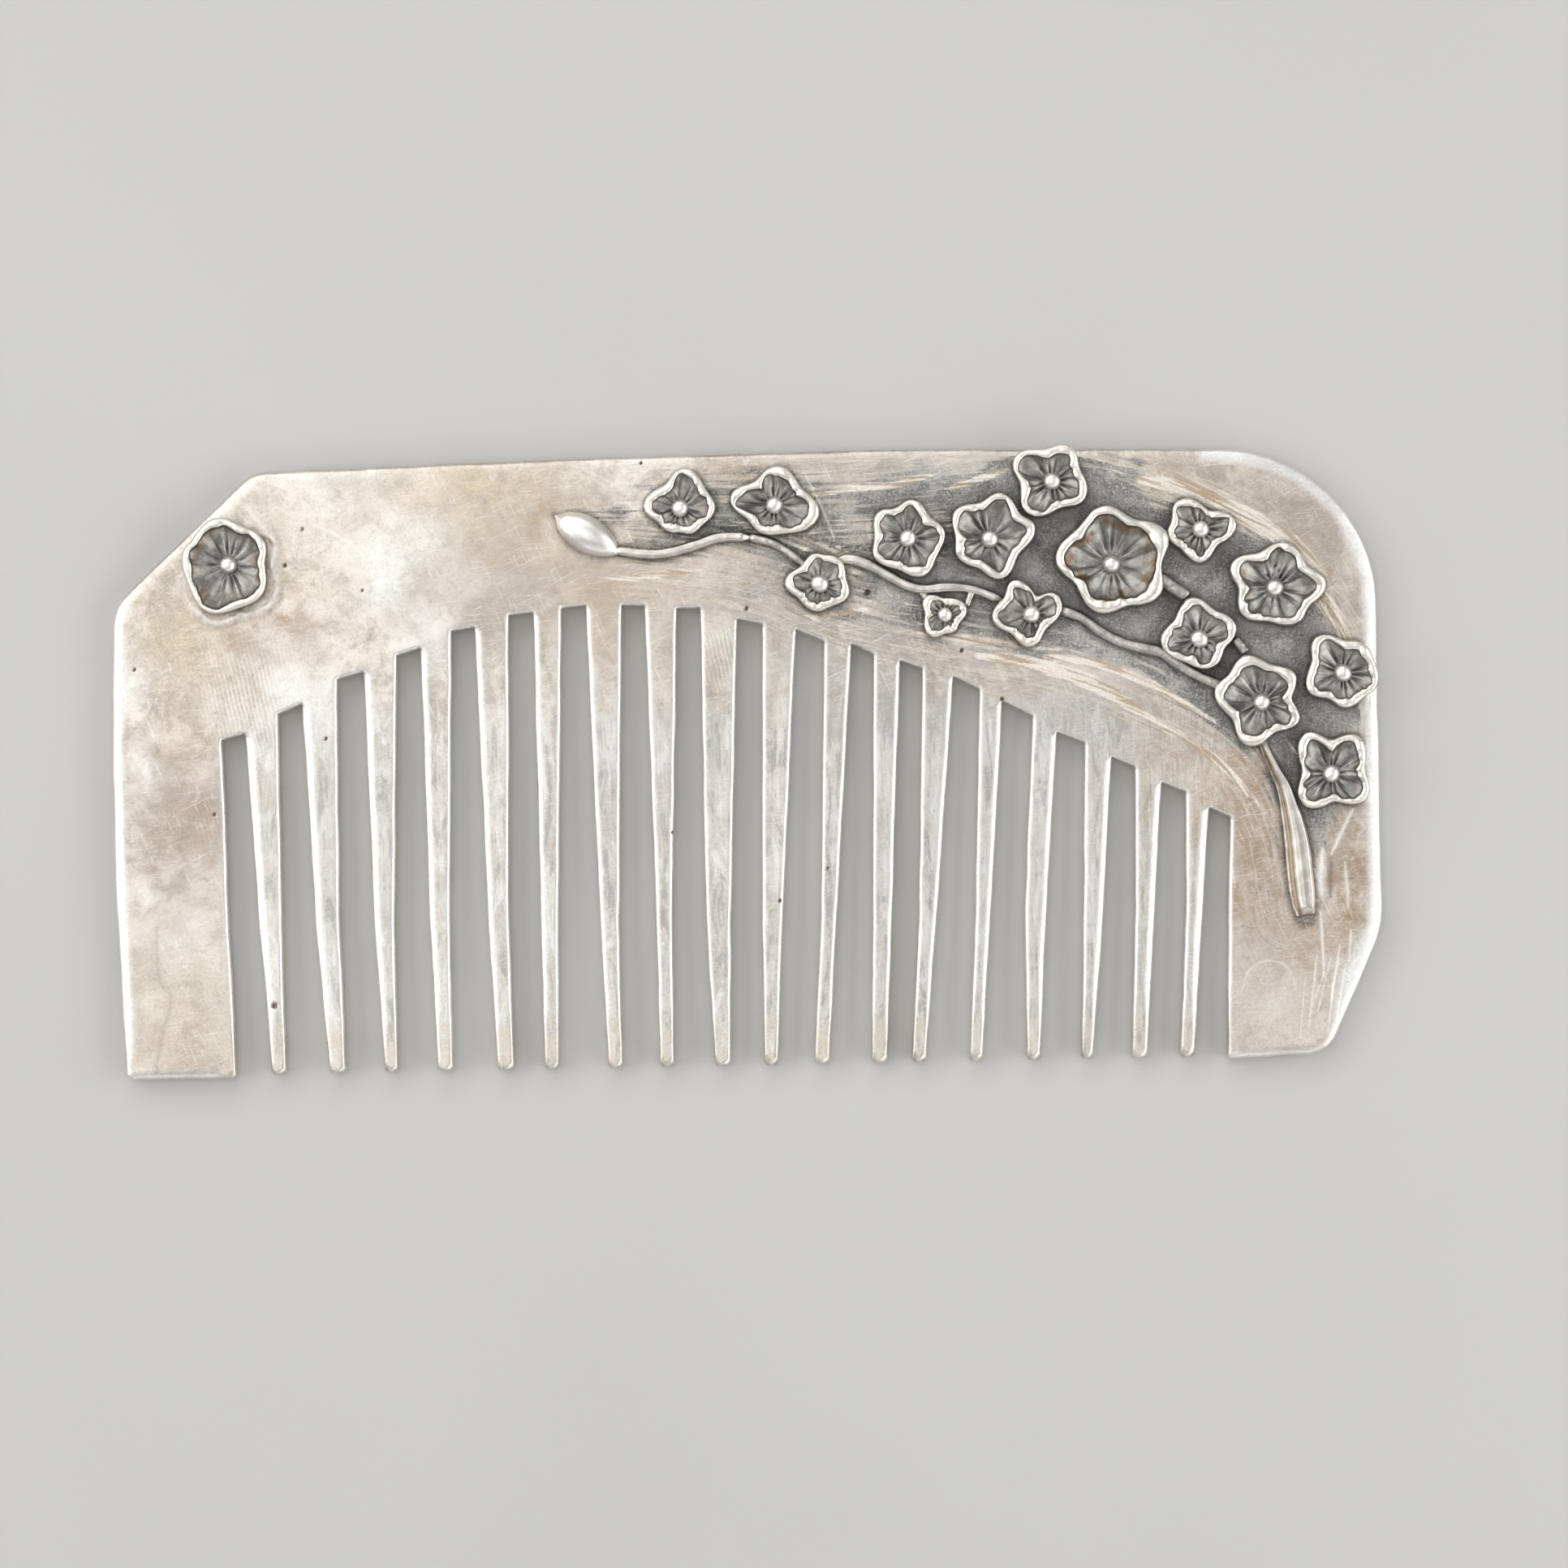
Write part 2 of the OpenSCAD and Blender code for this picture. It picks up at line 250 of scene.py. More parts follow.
WHITE_SILVER = (0.95, 0.925, 0.88)
PALE_SILVER = (0.82, 0.755, 0.67)
SILVER = (0.57, 0.50, 0.42)
WARM_SILVER = (0.52, 0.44, 0.35)
GREY_SILVER = (0.44, 0.385, 0.33)
PALE_CLOUD = (0.93, 0.88, 0.81)
DARK_CLOUD = (0.43, 0.36, 0.29)
TOOTH_SILVER = (0.84, 0.82, 0.785)
TOOTH_LIGHT = (0.96, 0.945, 0.92)
TOOTH_DARK = (0.47, 0.44, 0.42)
CREAM = (0.80, 0.72, 0.60)
TAN = (0.74, 0.62, 0.44)
BROWN = (0.47, 0.32, 0.21)
MAUVE = (0.51, 0.44, 0.395)
BLUE_GREY = (0.43, 0.43, 0.44)
GLINT = (1.0, 0.985, 0.95)
# Worn edge colour: partly polish, partly painted highlight for the side lamps' reflection on its rounding
WORN_EDGE_AND_HIGHLIGHT = (0.97, 0.955, 0.93)
STREAK_PALE = (0.76, 0.70, 0.61)
STREAK_BROWN = (0.47, 0.37, 0.28)
STREAK_DARK = (0.34, 0.33, 0.33)
SWATH_PALE = (0.93, 0.875, 0.79)
SWATH_BROWN = (0.56, 0.44, 0.32)
OXIDE = (0.275, 0.266, 0.254)
OXIDE_LIGHT = (0.53, 0.51, 0.485)
GRIT_LIGHT = (0.74, 0.70, 0.65)
GRIT_DARK = (0.09, 0.088, 0.085)
GRAIN = (0.95, 0.93, 0.89)
# Painted shade beside the cups, the wires, the trunk and the bud, and in the gaps between close cups
CREVICE_SHADE = (0.035, 0.028, 0.022)
PIT = (0.13, 0.08, 0.07)
DUST = (0.86, 0.85, 0.84)
NO_DUST = (1.0, 1.0, 1.0)
BRUSHED_DARK = (0.62, 0.60, 0.59)
HATCH = (0.55, 0.50, 0.45)
SCRATCH_DARK = (0.28, 0.24, 0.21)
SCRATCH_LIGHT = (0.97, 0.95, 0.90)

CUP_DARK = (0.21, 0.205, 0.195)
CUP_LIGHT = (0.38, 0.365, 0.34)
CUP_STAIN = (0.20, 0.135, 0.085)
CUP_RUBBED = (0.55, 0.52, 0.47)
CUP_CREASE = (0.075, 0.075, 0.078)
CUP_WALL_SHADE = (0.11, 0.10, 0.09)
CUP_RIM = (0.95, 0.905, 0.835)
CUP_RIM_WARM = (0.76, 0.68, 0.58)

BEAD_GREY = (0.6, 0.57, 0.53)
BEAD_UNDERSIDE_SHADE = (0.16, 0.12, 0.09)

WIRE_SIDE_DARK = (0.24, 0.22, 0.20)
WIRE_SIDE_LIGHT = (0.42, 0.39, 0.36)
WIRE_CREST_DARK = (0.60, 0.56, 0.51)
WIRE_CREST_LIGHT = (0.84, 0.80, 0.75)
GROOVE = (0.52, 0.41, 0.27)
WIRE_UNDERSIDE_SHADE = (0.05, 0.04, 0.035)

FLOOR_DARK = (0.54, 0.535, 0.52)
FLOOR_LIGHT = (0.58, 0.575, 0.56)


def tarnished(m, mottle, speckle, fine):
    """Silver in patches, speckled and clouded, with rippled teeth and the marks of tarnish and wear, painted
    glints on the bright spots, and worn edges with a painted highlight.
    """
    patches = m.noise(0.11, 5.0, 0.55, distortion=0.8)
    clouds = m.noise(0.55, 7.0, 0.72, distortion=1.2)
    ripple = m.noise(1.0, 5.0, 0.65, place=m.stretched((0.75, 0.16, 1.0)), distortion=1.1)
    calm = m.span(m.attribute("cream"), 0.0, 0.8, 1.0, 0.2)
    colour = m.layers(
        SILVER,
        (m.span(patches, 0.41, 0.59), PALE_SILVER),
        (m.span(mottle, 0.48, 0.66, 0.0, 0.6), GREY_SILVER),
        (m.span(speckle, 0.52, 0.66, 0.0, 0.55), PALE_SILVER),
        (m.span(speckle, 0.46, 0.34, 0.0, 0.5), WARM_SILVER),
        (m.times(m.span(clouds, 0.53, 0.60, 0.0, 0.5), calm), PALE_CLOUD),
        (m.times(m.span(clouds, 0.47, 0.38, 0.0, 0.6), calm), DARK_CLOUD),
        (m.marked("upright", 0.5), TOOTH_SILVER),
        (m.marked("upright", m.span(ripple, 0.54, 0.62, 0.0, 0.75)), TOOTH_LIGHT),
        (m.marked("upright", m.span(ripple, 0.47, 0.38, 0.0, 0.75)), TOOTH_DARK),
    )
    for name, tone, ragged in (
        ("cream", CREAM, mottle),
        ("mauve", MAUVE, fine),
        ("tan", TAN, speckle),
        ("blue", BLUE_GREY, fine),
        ("brown", BROWN, speckle),
    ):
        colour = m.mix(m.marked(name, m.span(ragged, 0.40, 0.58, 0.15, 1.0)), colour, tone)
    # Painted highlights: near-white glints on the spots marked bright, then the worn edges, which are partly
    # polish and partly painted highlight
    glints = m.span(speckle, 0.35, 0.6, 0.55, 1.0)
    return m.layers(colour, (m.marked("bright", glints), GLINT), (m.attribute("edge"), WORN_EDGE_AND_HIGHLIGHT))


def oxidised(m, colour, grit, grains):
    """Adds the dark granular ground, the polishing streaks and swaths along its edge, painted contact shade
    beside the cups, wires, trunk and bud and in the gaps between close cups, and the dark pits.

    Returns the colour and where the ground is."""
    along = m.node("ShaderNodeCombineXYZ", {0: m.attribute("flow_u"), 1: m.attribute("flow_v")}).outputs[0]
    streak = m.noise(1.0, 5.0, 0.6, place=m.scaled(along, (0.16, 2.4, 1.0)), distortion=0.5)
    thin_streak = m.noise(1.0, 4.0, 0.6, place=m.scaled(along, (0.3, 5.0, 1.0)), distortion=0.3)
    cloud = m.noise(0.45, 5.0, 0.6, distortion=0.5)
    ground = m.layers(
        OXIDE,
        (m.span(cloud, 0.36, 0.66), OXIDE_LIGHT),
        (m.span(grit, 0.52, 0.64, 0.0, 0.9), GRIT_LIGHT),
        (m.span(grit, 0.46, 0.32, 0.0, 0.6), GRIT_DARK),
        (m.span(grains, 0.24, 0.08), GRAIN),
    )
    torn = m.plus(m.attribute("oxide"), m.span(streak, 0.3, 0.7, 0.34, -0.34))
    oxide = m.span(torn, 0.3, 0.7)
    ragged = m.plus(m.attribute("swath"), m.span(thin_streak, 0.3, 0.7, 0.25, -0.25))
    swath = m.times(m.span(ragged, 0.3, 0.62), m.span(m.attribute("swath"), 0.05, 0.3))
    colour = m.layers(
        colour,
        (m.marked("band", m.span(streak, 0.5, 0.62, 0.0, 0.8)), STREAK_PALE),
        (m.marked("band", m.span(thin_streak, 0.56, 0.68, 0.0, 0.7)), STREAK_BROWN),
        (m.marked("band", m.span(thin_streak, 0.42, 0.34, 0.0, 0.6)), STREAK_DARK),
        (oxide, ground),
        (swath, m.mix(m.span(streak, 0.40, 0.56), SWATH_BROWN, SWATH_PALE)),
        # Painted contact shade round the cups, wires, trunk and bud
        (m.marked("crevice_shade", m.span(grit, 0.3, 0.6, 0.55, 1.0)), CREVICE_SHADE),
        (m.attribute("pit"), PIT),
    )
    return colour, oxide


def tooled(m, colour, brushed, filed, fine, clean):
    """Adds dust, brushed and single scratches and file marks, where the plate is clean of oxide."""
    dust = m.mix(m.span(fine, 0.36, 0.60), DUST, NO_DUST)
    colour = m.darkened(m.times(clean, 0.9), colour, dust)
    colour = m.mix(m.times(m.span(brushed, 0.54, 0.68, 0.0, 0.4), clean), colour, WHITE_SILVER)
    colour = m.darkened(m.times(m.span(brushed, 0.46, 0.34, 0.0, 0.4), clean), colour, BRUSHED_DARK)
    for turn, wide in ((66, 9.0), (-24, 8.0), (84, 11.0)):
        hair = m.noise(1.0, 3.0, 0.7, place=m.stretched((wide, 0.22, 1.0), turn), distortion=0.35)
        colour = m.mix(m.times(m.span(hair, 0.60, 0.68, 0.0, 0.5), clean), colour, WHITE_SILVER)
    colour = m.darkened(m.times(filed, 0.6), colour, HATCH)
    return m.layers(
        colour, (m.attribute("scratch_dark"), SCRATCH_DARK), (m.attribute("scratch_light"), SCRATCH_LIGHT)
    )


def plate_material():
    """Worn silver with warm tarnish, brushed in several directions, and a granular oxidised ground."""
    m = Shader("plate_silver", Metallic=1.0)
    mottle = m.noise(0.45, 6.0, 0.6, distortion=0.4)
    speckle = m.noise(1.1, 8.0, 0.8, distortion=0.3)
    fine = m.noise(4.0, 5.0, 0.7)
    grit = m.noise(3.6, 5.0, 0.75)
    grains = m.cells(4.6)
    # Brushed upright on the teeth, slanted and level elsewhere
    upright = m.noise(1.0, 4.0, 0.65, place=m.stretched((6.0, 0.25, 1.0)))
    slanted = m.noise(1.0, 4.0, 0.65, place=m.stretched((5.0, 0.25, 1.0), 58), distortion=0.2)
    level = m.noise(1.0, 4.0, 0.65, place=m.stretched((0.3, 5.0, 1.0), 8), distortion=0.2)
    brushed = m.plus(m.times(slanted, 0.5), m.times(level, 0.5))
    brushed = m.node("ShaderNodeMix", {0: m.attribute("upright"), 2: brushed, 3: upright}).outputs[0]
    file_marks = {"Vector": m.stretched((1.0, 1.0, 1.0), -12), "Scale": 0.85, "Distortion": 1.6}
    file_marks.update({"Detail": 2.0, "Detail Scale": 0.6})
    filed = m.marked("hatch", m.node("ShaderNodeTexWave", file_marks).outputs["Fac"])

    colour = tarnished(m, mottle, speckle, fine)
    colour, oxide = oxidised(m, colour, grit, grains)
    clean = m.math("SUBTRACT", 1.0, oxide)
    m.set("Base Color", tooled(m, colour, brushed, filed, fine, clean))

    rough = m.plus(m.span(mottle, 0.3, 0.7, 0.33, 0.45), m.span(brushed, 0.3, 0.7, -0.04, 0.06))
    m.set("Roughness", m.math("ADD", rough, m.times(oxide, 0.10), clamp=True))
    m.set("Metallic", m.span(oxide, 0.0, 1.0, 1.0, 0.85))

    relief = m.bump(brushed, 0.016, 0.5)
    relief = m.bump(speckle, 0.07, 0.5, relief)
    relief = m.bump(filed, 0.03, 0.4, relief)
    grain_height = m.times(m.plus(grit, m.times(grains, -0.7)), oxide)
    m.set("Normal", m.bump(grain_height, 0.13, 1.0, relief))
    return m.material


def blossom_material():
    """Oxidised silver cup with dark creases, brown stains below the rim, a rubbed bright rim, and painted
    shade on its outer wall.
    """
    m = Shader("blossom_silver", Metallic=1.0)
    cloud = m.noise(0.8, 5.0, 0.6)
    fine = m.noise(6.0, 4.0, 0.7)
    worn = m.plus(m.span(fine, 0.3, 0.7, -0.12, 0.12), m.span(cloud, 0.35, 0.65, 0.08, -0.16))
    edge = m.span(m.plus(m.attribute("rim"), worn), 0.4, 0.66)
    colour = m.layers(
        CUP_DARK,
        (m.span(cloud, 0.35, 0.65), CUP_LIGHT),
        (m.marked("stain", m.span(m.noise(0.9, 5.0, 0.65), 0.4, 0.6)), CUP_STAIN),
        (m.marked("ridge", m.span(cloud, 0.42, 0.62, 0.05, 0.6)), CUP_RUBBED),
        (m.attribute("deep"), CUP_CREASE),
        (edge, m.mix(m.span(cloud, 0.4, 0.7, 0.0, 0.5), CUP_RIM, CUP_RIM_WARM)),
        # Painted shade on the cup's outer wall
        (m.marked("wall", m.span(fine, 0.3, 0.7, 0.75, 1.0)), CUP_WALL_SHADE),
    )
    m.set("Base Color", colour)
    m.set("Roughness", m.plus(m.span(edge, 0.0, 1.0, 0.42, 0.34), m.span(fine, 0.3, 0.7, -0.04, 0.06)))
    m.set("Normal", m.bump(m.noise(1.6, 3.0, 0.6), 0.10, 0.4, m.bump(fine, 0.03, 0.5)))
    return m.material


def bead_material():
    """Polished silver, with painted shade on the lower sides of the balls and the bud."""
    m = Shader("bead_silver", Metallic=1.0)
    fine = m.noise(4.0, 4.0, 0.65)
    grey = m.span(fine, 0.45, 0.75, 0.0, 0.5)
    # Painted shade on the lower sides, where the mesh is marked deep
    m.set("Base Color", m.layers(WHITE_SILVER, (grey, BEAD_GREY), (m.attribute("deep"), BEAD_UNDERSIDE_SHADE)))
    m.set("Roughness", m.span(fine, 0.3, 0.7, 0.34, 0.46))
    m.set("Normal", m.bump(fine, 0.03, 0.4))
    return m.material


def branch_material():
    """Wire with a rubbed crest and dark oxidised sides, the trunk's tan groove, and painted shade on the
    undersides.
    """
    m = Shader("branch_silver", Metallic=1.0)
    fine = m.noise(4.5, 4.0, 0.65)
    cloud = m.noise(0.8, 4.0, 0.6)
    crest = m.mix(m.span(cloud, 0.35, 0.7), WIRE_CREST_DARK, WIRE_CREST_LIGHT)
    top = m.span(m.plus(m.attribute("crest"), m.span(fine, 0.3, 0.7, -0.08, 0.08)), 0.3, 0.75)
    colour = m.layers(
        WIRE_SIDE_DARK,
        (m.span(cloud, 0.35, 0.65), WIRE_SIDE_LIGHT),
        (top, crest),
        (m.attribute("groove"), GROOVE),
        # Painted shade on the undersides, where the mesh is marked deep
        (m.attribute("deep"), WIRE_UNDERSIDE_SHADE),
    )
    m.set("Base Color", colour)
    m.set("Roughness", m.span(top, 0.0, 1.0, 0.45, 0.36))
    m.set("Normal", m.bump(fine, 0.03, 0.3))
    return m.material


def floor_material():
    m = Shader("floor_paper", Roughness=0.85)
    m.set("Base Color", m.mix(m.noise(0.02, 3.0, 0.5), FLOOR_DARK, FLOOR_LIGHT))
    return m.material


plate_silver = plate_material()
blossom_silver = blossom_material()
bead_silver = bead_material()
branch_silver = branch_material()


# ---- Blossom outlines, read from the CAD ----


def node_points(name):
    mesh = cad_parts[name].data
    points = np.empty(len(mesh.vertices) * 3)
    mesh.vertices.foreach_get("co", points)
    return points.reshape(-1, 3) / MM


class Blossom:
    """Centre, height and outline of one CAD blossom, with the reach of its rim in any direction."""

    SAMPLES = 360

    def __init__(self, number):
        self.number = number
        self.node = f"blossom_{number:02d}"
        self.stamen = f"stamen_{number:02d}"
        low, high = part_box(self.stamen)
        self.centre = np.array([(low.x + high.x) / 2, (low.y + high.y) / 2]) / MM
        self.stamen_r = (high.x - low.x) / 2 / MM
        points = node_points(self.node)
        self.high = points[:, 2].max() - SHEET_T
        flat = points[:, :2] - self.centre
        angle = np.round(np.degrees(np.arctan2(flat[:, 1], flat[:, 0]))) % 360
        reach = np.hypot(flat[:, 0], flat[:, 1])
        every = np.arange(self.SAMPLES)
        longest = np.array([reach[angle == a].max(initial=0) for a in every])
        # Only the rim's points count, not those of the rings inside it
        around = np.max([np.roll(longest, k) for k in range(-4, 5)], axis=0)
        keep = longest > 0.93 * around
        outline = np.interp(every, every[keep], longest[keep], period=360)
        for _ in range(3):
            outline = smoothed(outline)
        before, after = np.roll(outline, 1), np.roll(outline, -1)
        self.tips = every[(outline > before) & (outline >= after)].tolist()
        across, up = toward(every)
        self.outline = outline * (1 + 0.012 * wave_noise(across * 2.2 + 7 * number, up * 2.2, 2))
        self.mean = float(outline.mean())

    def reach(self, degrees):
        return np.interp(np.asarray(degrees) % 360, np.arange(self.SAMPLES), self.outline, period=360)

    def gap(self, x, y):
        """Distance beyond the rim, below zero inside it."""
        dx, dy = x - self.centre[0], y - self.centre[1]
        return np.hypot(dx, dy) - self.reach(np.degrees(np.arctan2(dy, dx)))


blossoms = [Blossom(number + 1) for number in range(BLOSSOM_COUNT)]


# ---- Branch routes, as in the CAD: x, y, width ----

WIRES = {
    "branch_tip": [
        (-11.2, 18.7, 0.8), (-8.2, 18.3, 0.9), (-6.3, 18.4, 0.9), (-4, 19, 0.9), (-1.9, 19.6, 0.9),
        (0.8, 19.6, 0.85)
    ],
    "twig_low": [(0.6, 19.6, 0.8), (2.3, 19.2, 0.8), (3.6, 18.5, 0.75), (4.9, 17.5, 0.7), (5.6, 16.9, 0.6)],
    "branch_middle": [
        (7.9, 17.3, 0.8), (9, 17.5, 1), (10.2, 17.3, 1), (11.4, 16.8, 1), (12.6, 16.1, 0.9),
        (14.2, 15.2, 0.9), (15.7, 14.8, 0.9), (17.8, 14.9, 0.9), (19.9, 14.7, 0.8), (22, 13.9, 0.8),
        (22.8, 13.5, 0.7)
    ],
    "twig_left": [(15.5, 14.6, 0.6), (16, 13.9, 0.6)],
    "twig_right": [(19.9, 14.5, 0.6), (19.4, 13.2, 0.55)],
    "branch_right": [
        (27, 12.9, 0.8), (28, 12.6, 0.9), (29.5, 12, 0.9), (31.2, 10.7, 0.9), (33.2, 9.7, 0.9),
        (35.2, 9.2, 1), (36.4, 8.8, 1), (37.8, 7.8, 1), (39.4, 6.8, 0.9), (41.1, 6, 0.9), (42, 5.6, 0.7)
    ],
    "branch_upper": [(36.1, 15.5, 1.1), (37.4, 14.5, 1.2), (38.7, 13.6, 1.1)],
    "branch_link": [(42.6, 10, 0.9), (43.1, 9.3, 0.9), (43.6, 8.7, 0.9)],
}
TRUNK = [
    (44.6, 2, 0.7), (45.1, 0.3, 0.8), (45.9, -1.5, 1), (46.7, -3.2, 1.4), (47.3, -5.6, 1.9),
    (47.7, -8, 2.3), (47.9, -10.4, 2.4), (48.1, -12.6, 2.3), (48.3, -14.2, 1.7)
]
# How brightly each wire's crest is rubbed
WIRE_SHINE = {
    "branch_tip": 0.8, "twig_low": 0.45, "branch_middle": 0.75, "branch_right": 0.4, "branch_upper": 0.35,
    "branch_link": 0.3
}
BUD_TIP = (-16.2, 21.8)
BUD_STEM = (-10.7, 18.4)
BUD_W = 3.2


def curve_through(route, step):
    """Smooth points (Catmull-Rom) through a route of tuples, about a step apart."""
    p = np.array(route, float)
    p[:, 1] += PLATE_Y
    p = np.vstack([2 * p[0] - p[1], p, 2 * p[-1] - p[-2]])
    out = []
    for a, b, c, d in zip(p, p[1:], p[2:], p[3:]):
        count = max(2, int(np.hypot(*(c - b)[:2]) / step))
        for t in np.arange(count) / count:
            bend = (2 * a - 5 * b + 4 * c - d) * t * t
            out.append(0.5 * (2 * b + (c - a) * t + bend + (3 * b - a - 3 * c + d) * t ** 3))
    out.append(p[-2])
    return np.array(out)


def bud_row(t):
    """Place and width of the bud at a share t of the way from its tip to its stem."""
    x, y = (tip + (stem - tip) * t for tip, stem in zip(BUD_TIP, BUD_STEM))
    width = BUD_W * max(0.05, math.sin(math.pi * t)) ** 0.65 * (0.35 + 0.65 * min(1, t / 0.12))
    return x, y + PLATE_Y, width


ROUTE_STEP = 0.12
wire_lines = {name: curve_through(route, ROUTE_STEP) for name, route in WIRES.items()}
trunk_line = curve_through(TRUNK, ROUTE_STEP)
bud_line = np.array([bud_row(t) for t in np.linspace(0, 1, 40)])


# ---- The sheet ----

# How the upper edge is worn: a tight radius at the rim, and a soft pillow behind it
RIM_R = 0.24
PILLOW_H = 0.30
# Rings of points behind the front's outline, and across each cup's rim
RING_OFFSETS = (0.02, 0.07, 0.14, 0.23, 0.35, 0.5, 0.7, 0.95)
CUP_OFFSETS = (-0.9, -0.4, 0.0, 0.12, 0.25, 0.42, 0.65)
OUTLINE_STEP = 0.4
INNER_STEP = 0.36
# The back's softened edge: distance inside the outline, height. The wall bulges a little half way up
BACK_RINGS = ((0.05, 0.12), (0.14, 0.03), (0.3, 0.0))
BACK_EDGE_Z = 0.26
BACK_STEP = 1.6
WALL_Z = 0.8
WALL_BULGE = 0.015
FLOW_STEP = 0.25
# Where the row of teeth begins and ends, and the level that it stays below
SLOTS_LEFT = -46
SLOTS_RIGHT = 42.6
SLOTS_TOP = 15

# Casting and wear pits: x, y, radius
PITS = [
    (-38.1, 21, 0.2), (-39.7, 17.9, 0.22), (-33, 15.6, 0.17), (-52.9, 9.1, 0.2), (-36.4, 2.8, 0.2),
    (-8.6, 26.2, 0.18), (0.3, 13.4, 0.25), (10.8, 14.6, 0.36), (18.9, 9.4, 0.26), (22.3, 5.1, 0.24),
    (6.9, -9.3, 0.2), (2.7, -12, 0.22), (-6.5, -5.9, 0.15), (-41.3, -20.3, 0.34), (-46.2, -3.6, 0.2)
]

# Edge of the oxidised ground, anticlockwise from its upper left
GROUND = [
    (-12, 23.6), (-14.5, 20.4), (-12, 17.4), (-5, 17), (1, 15.8), (4, 12.8), (8, 12.2), (13, 10.8),
    (20, 9.4), (27, 8.6), (34, 5.8), (41, 2.2), (44.4, -0.6), (45.6, -5), (46.4, -9), (47.4, -11.6),
    (48.9, -11.8), (50.2, -9.8), (51.6, -6.6), (53, -4.6), (54.2, 0), (54, 6.5), (52.4, 10.8), (49.3, 16.2),
    (45.3, 19.2), (40.5, 21.8), (36.5, 22.9), (34.5, 25.2), (22, 25.7), (12, 25.2), (4, 25.6), (-4, 25.2)
]
# Where the polishing streaks run, below and above the ground
LOWER_FLOW = [
    (-24, 17.6), (-14, 17), (0, 15), (8, 11.6), (18, 9.2), (27, 7.4), (35, 4.4), (41.5, 0.6), (45.4, -5),
    (47, -14)
]
UPPER_FLOW = [
    (-24, 25.4), (-8, 25.6), (10, 25.6), (26, 26.3), (34, 24.8), (40, 22.6), (46, 19.4), (50.5, 14.6),
    (53.6, 8.6), (54.2, -2)
]
# Broad pale strokes left by the polishing wheel: route, half width, strength
SWATHS = [
    ([(34.4, 23.9), (39, 23), (45, 19.9), (51, 15.4)], 1, 1),
    ([(48.8, 15.2), (51.6, 11.2), (53.5, 7.2)], 0.9, 1),
    ([(5.5, 23), (9, 23.6), (12.5, 23.8), (17, 24.8)], 0.5, 0.7),
    ([(17.4, 23.2), (20.6, 24.2), (24, 25.3)], 0.5, 0.6),
    ([(14.5, 11.2), (18, 10.6), (23, 9.9), (28, 9.2)], 0.45, 0.7),
    ([(20, 8.9), (25, 8.2), (30, 6.4), (35, 3.4)], 0.8, 1),
    ([(26, 8.7), (31, 7.9), (36, 5.7), (41, 2.7)], 0.5, 0.9),
    ([(33, 4.6), (38, 1.4), (42, -1.6), (44.6, -4.8)], 0.5, 0.8),
    ([(3.8, 12.4), (7.5, 12.7), (11, 13.2)], 0.4, 0.7),
    ([(-13, 16.2), (-8, 16.4), (-3, 17)], 0.5, 0.6),
    ([(3, 16.8), (5.5, 18.6), (6.6, 21.5)], 0.4, 0.5),
]
# Scratches and tool marks: route, half width, depth (below zero it is raised), tone (light above zero)
SCRATCHES = [
    (
        [(-51.4, -13.5), (-51.3, -17.6), (-50.3, -19.4), (-50.9, -22), (-51.5, -24.6), (-51.7, -26)],
        0.24, 0, -0.3,
    ),
    ([(49.9, -8.4), (49.7, -10.4), (49.7, -12.4)], 0.32, -0.06, 1),
    ([(50.6, -9.6), (50.5, -12.6)], 0.3, 0.06, -0.8),
    ([(52.6, -5), (51.6, -7), (50.7, -8.8)], 0.16, -0.02, 0.9),
    ([(49.6, -13.8), (49.8, -19.6)], 0.12, 0.02, 1),
    ([(51.2, -16.8), (50.4, -21.6)], 0.07, 0.02, 1),
    ([(52.2, -15.5), (52, -18.2)], 0.10, 0.02, 1),
    ([(49.2, -17.6), (48.4, -23.8)], 0.07, 0.02, 0.9),
    ([(50.4, -17.8), (49.2, -22.4)], 0.06, 0.02, 0.9),
    ([(50.8, -18.6), (50.1, -24)], 0.06, 0.02, 0.9),
    ([(49.9, -19), (49, -21.2)], 0.06, 0.02, 0.9),
    ([(51.7, -18.6), (51, -22.8)], 0.06, 0.02, 0.8),
    ([(48.2, -19.4), (47.6, -24.6)], 0.05, 0.01, 0.7),
    ([(51.8, -9.6), (52, -13.4)], 0.14, 0.03, 0.7),
    ([(42.6, -20.6), (43.3, -18.8), (44.9, -18), (46.6, -18.6), (47.4, -20.6)], 0.09, 0.01, 0.5),
    ([(40.9, -6.5), (41.9, -9.2), (42.2, -11.6)], 0.08, 0.01, 0.6),
    ([(-37.4, 21.6), (-34.2, 19.9), (-32.8, 18.6)], 0.14, 0.02, 0.5),
    ([(5.6, 25), (7.2, 21.6), (8, 19.4)], 0.12, 0.02, 0.6),
]

# Where the oxidised ground is rubbed pale: x, y, radius, share
PALE_GROUND = [
    (44.2, -3, 2.4, 0.9), (45.6, -8.5, 1.8, 0.8), (48.9, -9.6, 2.2, 0.7), (50.6, -7.2, 2, 0.6),
    (46.2, 0.4, 1.6, 0.6), (33, 7.4, 3, 0.6), (28, 9.8, 2.4, 0.6), (38, 5, 2.4, 0.5), (53.2, 2, 1.5, 0.6),
    (9.5, 21, 2, 0.5), (-7.5, 15.5, 2, 0.8), (3, 25.5, 2, 0.6), (24, 9.6, 1.6, 0.5)
]
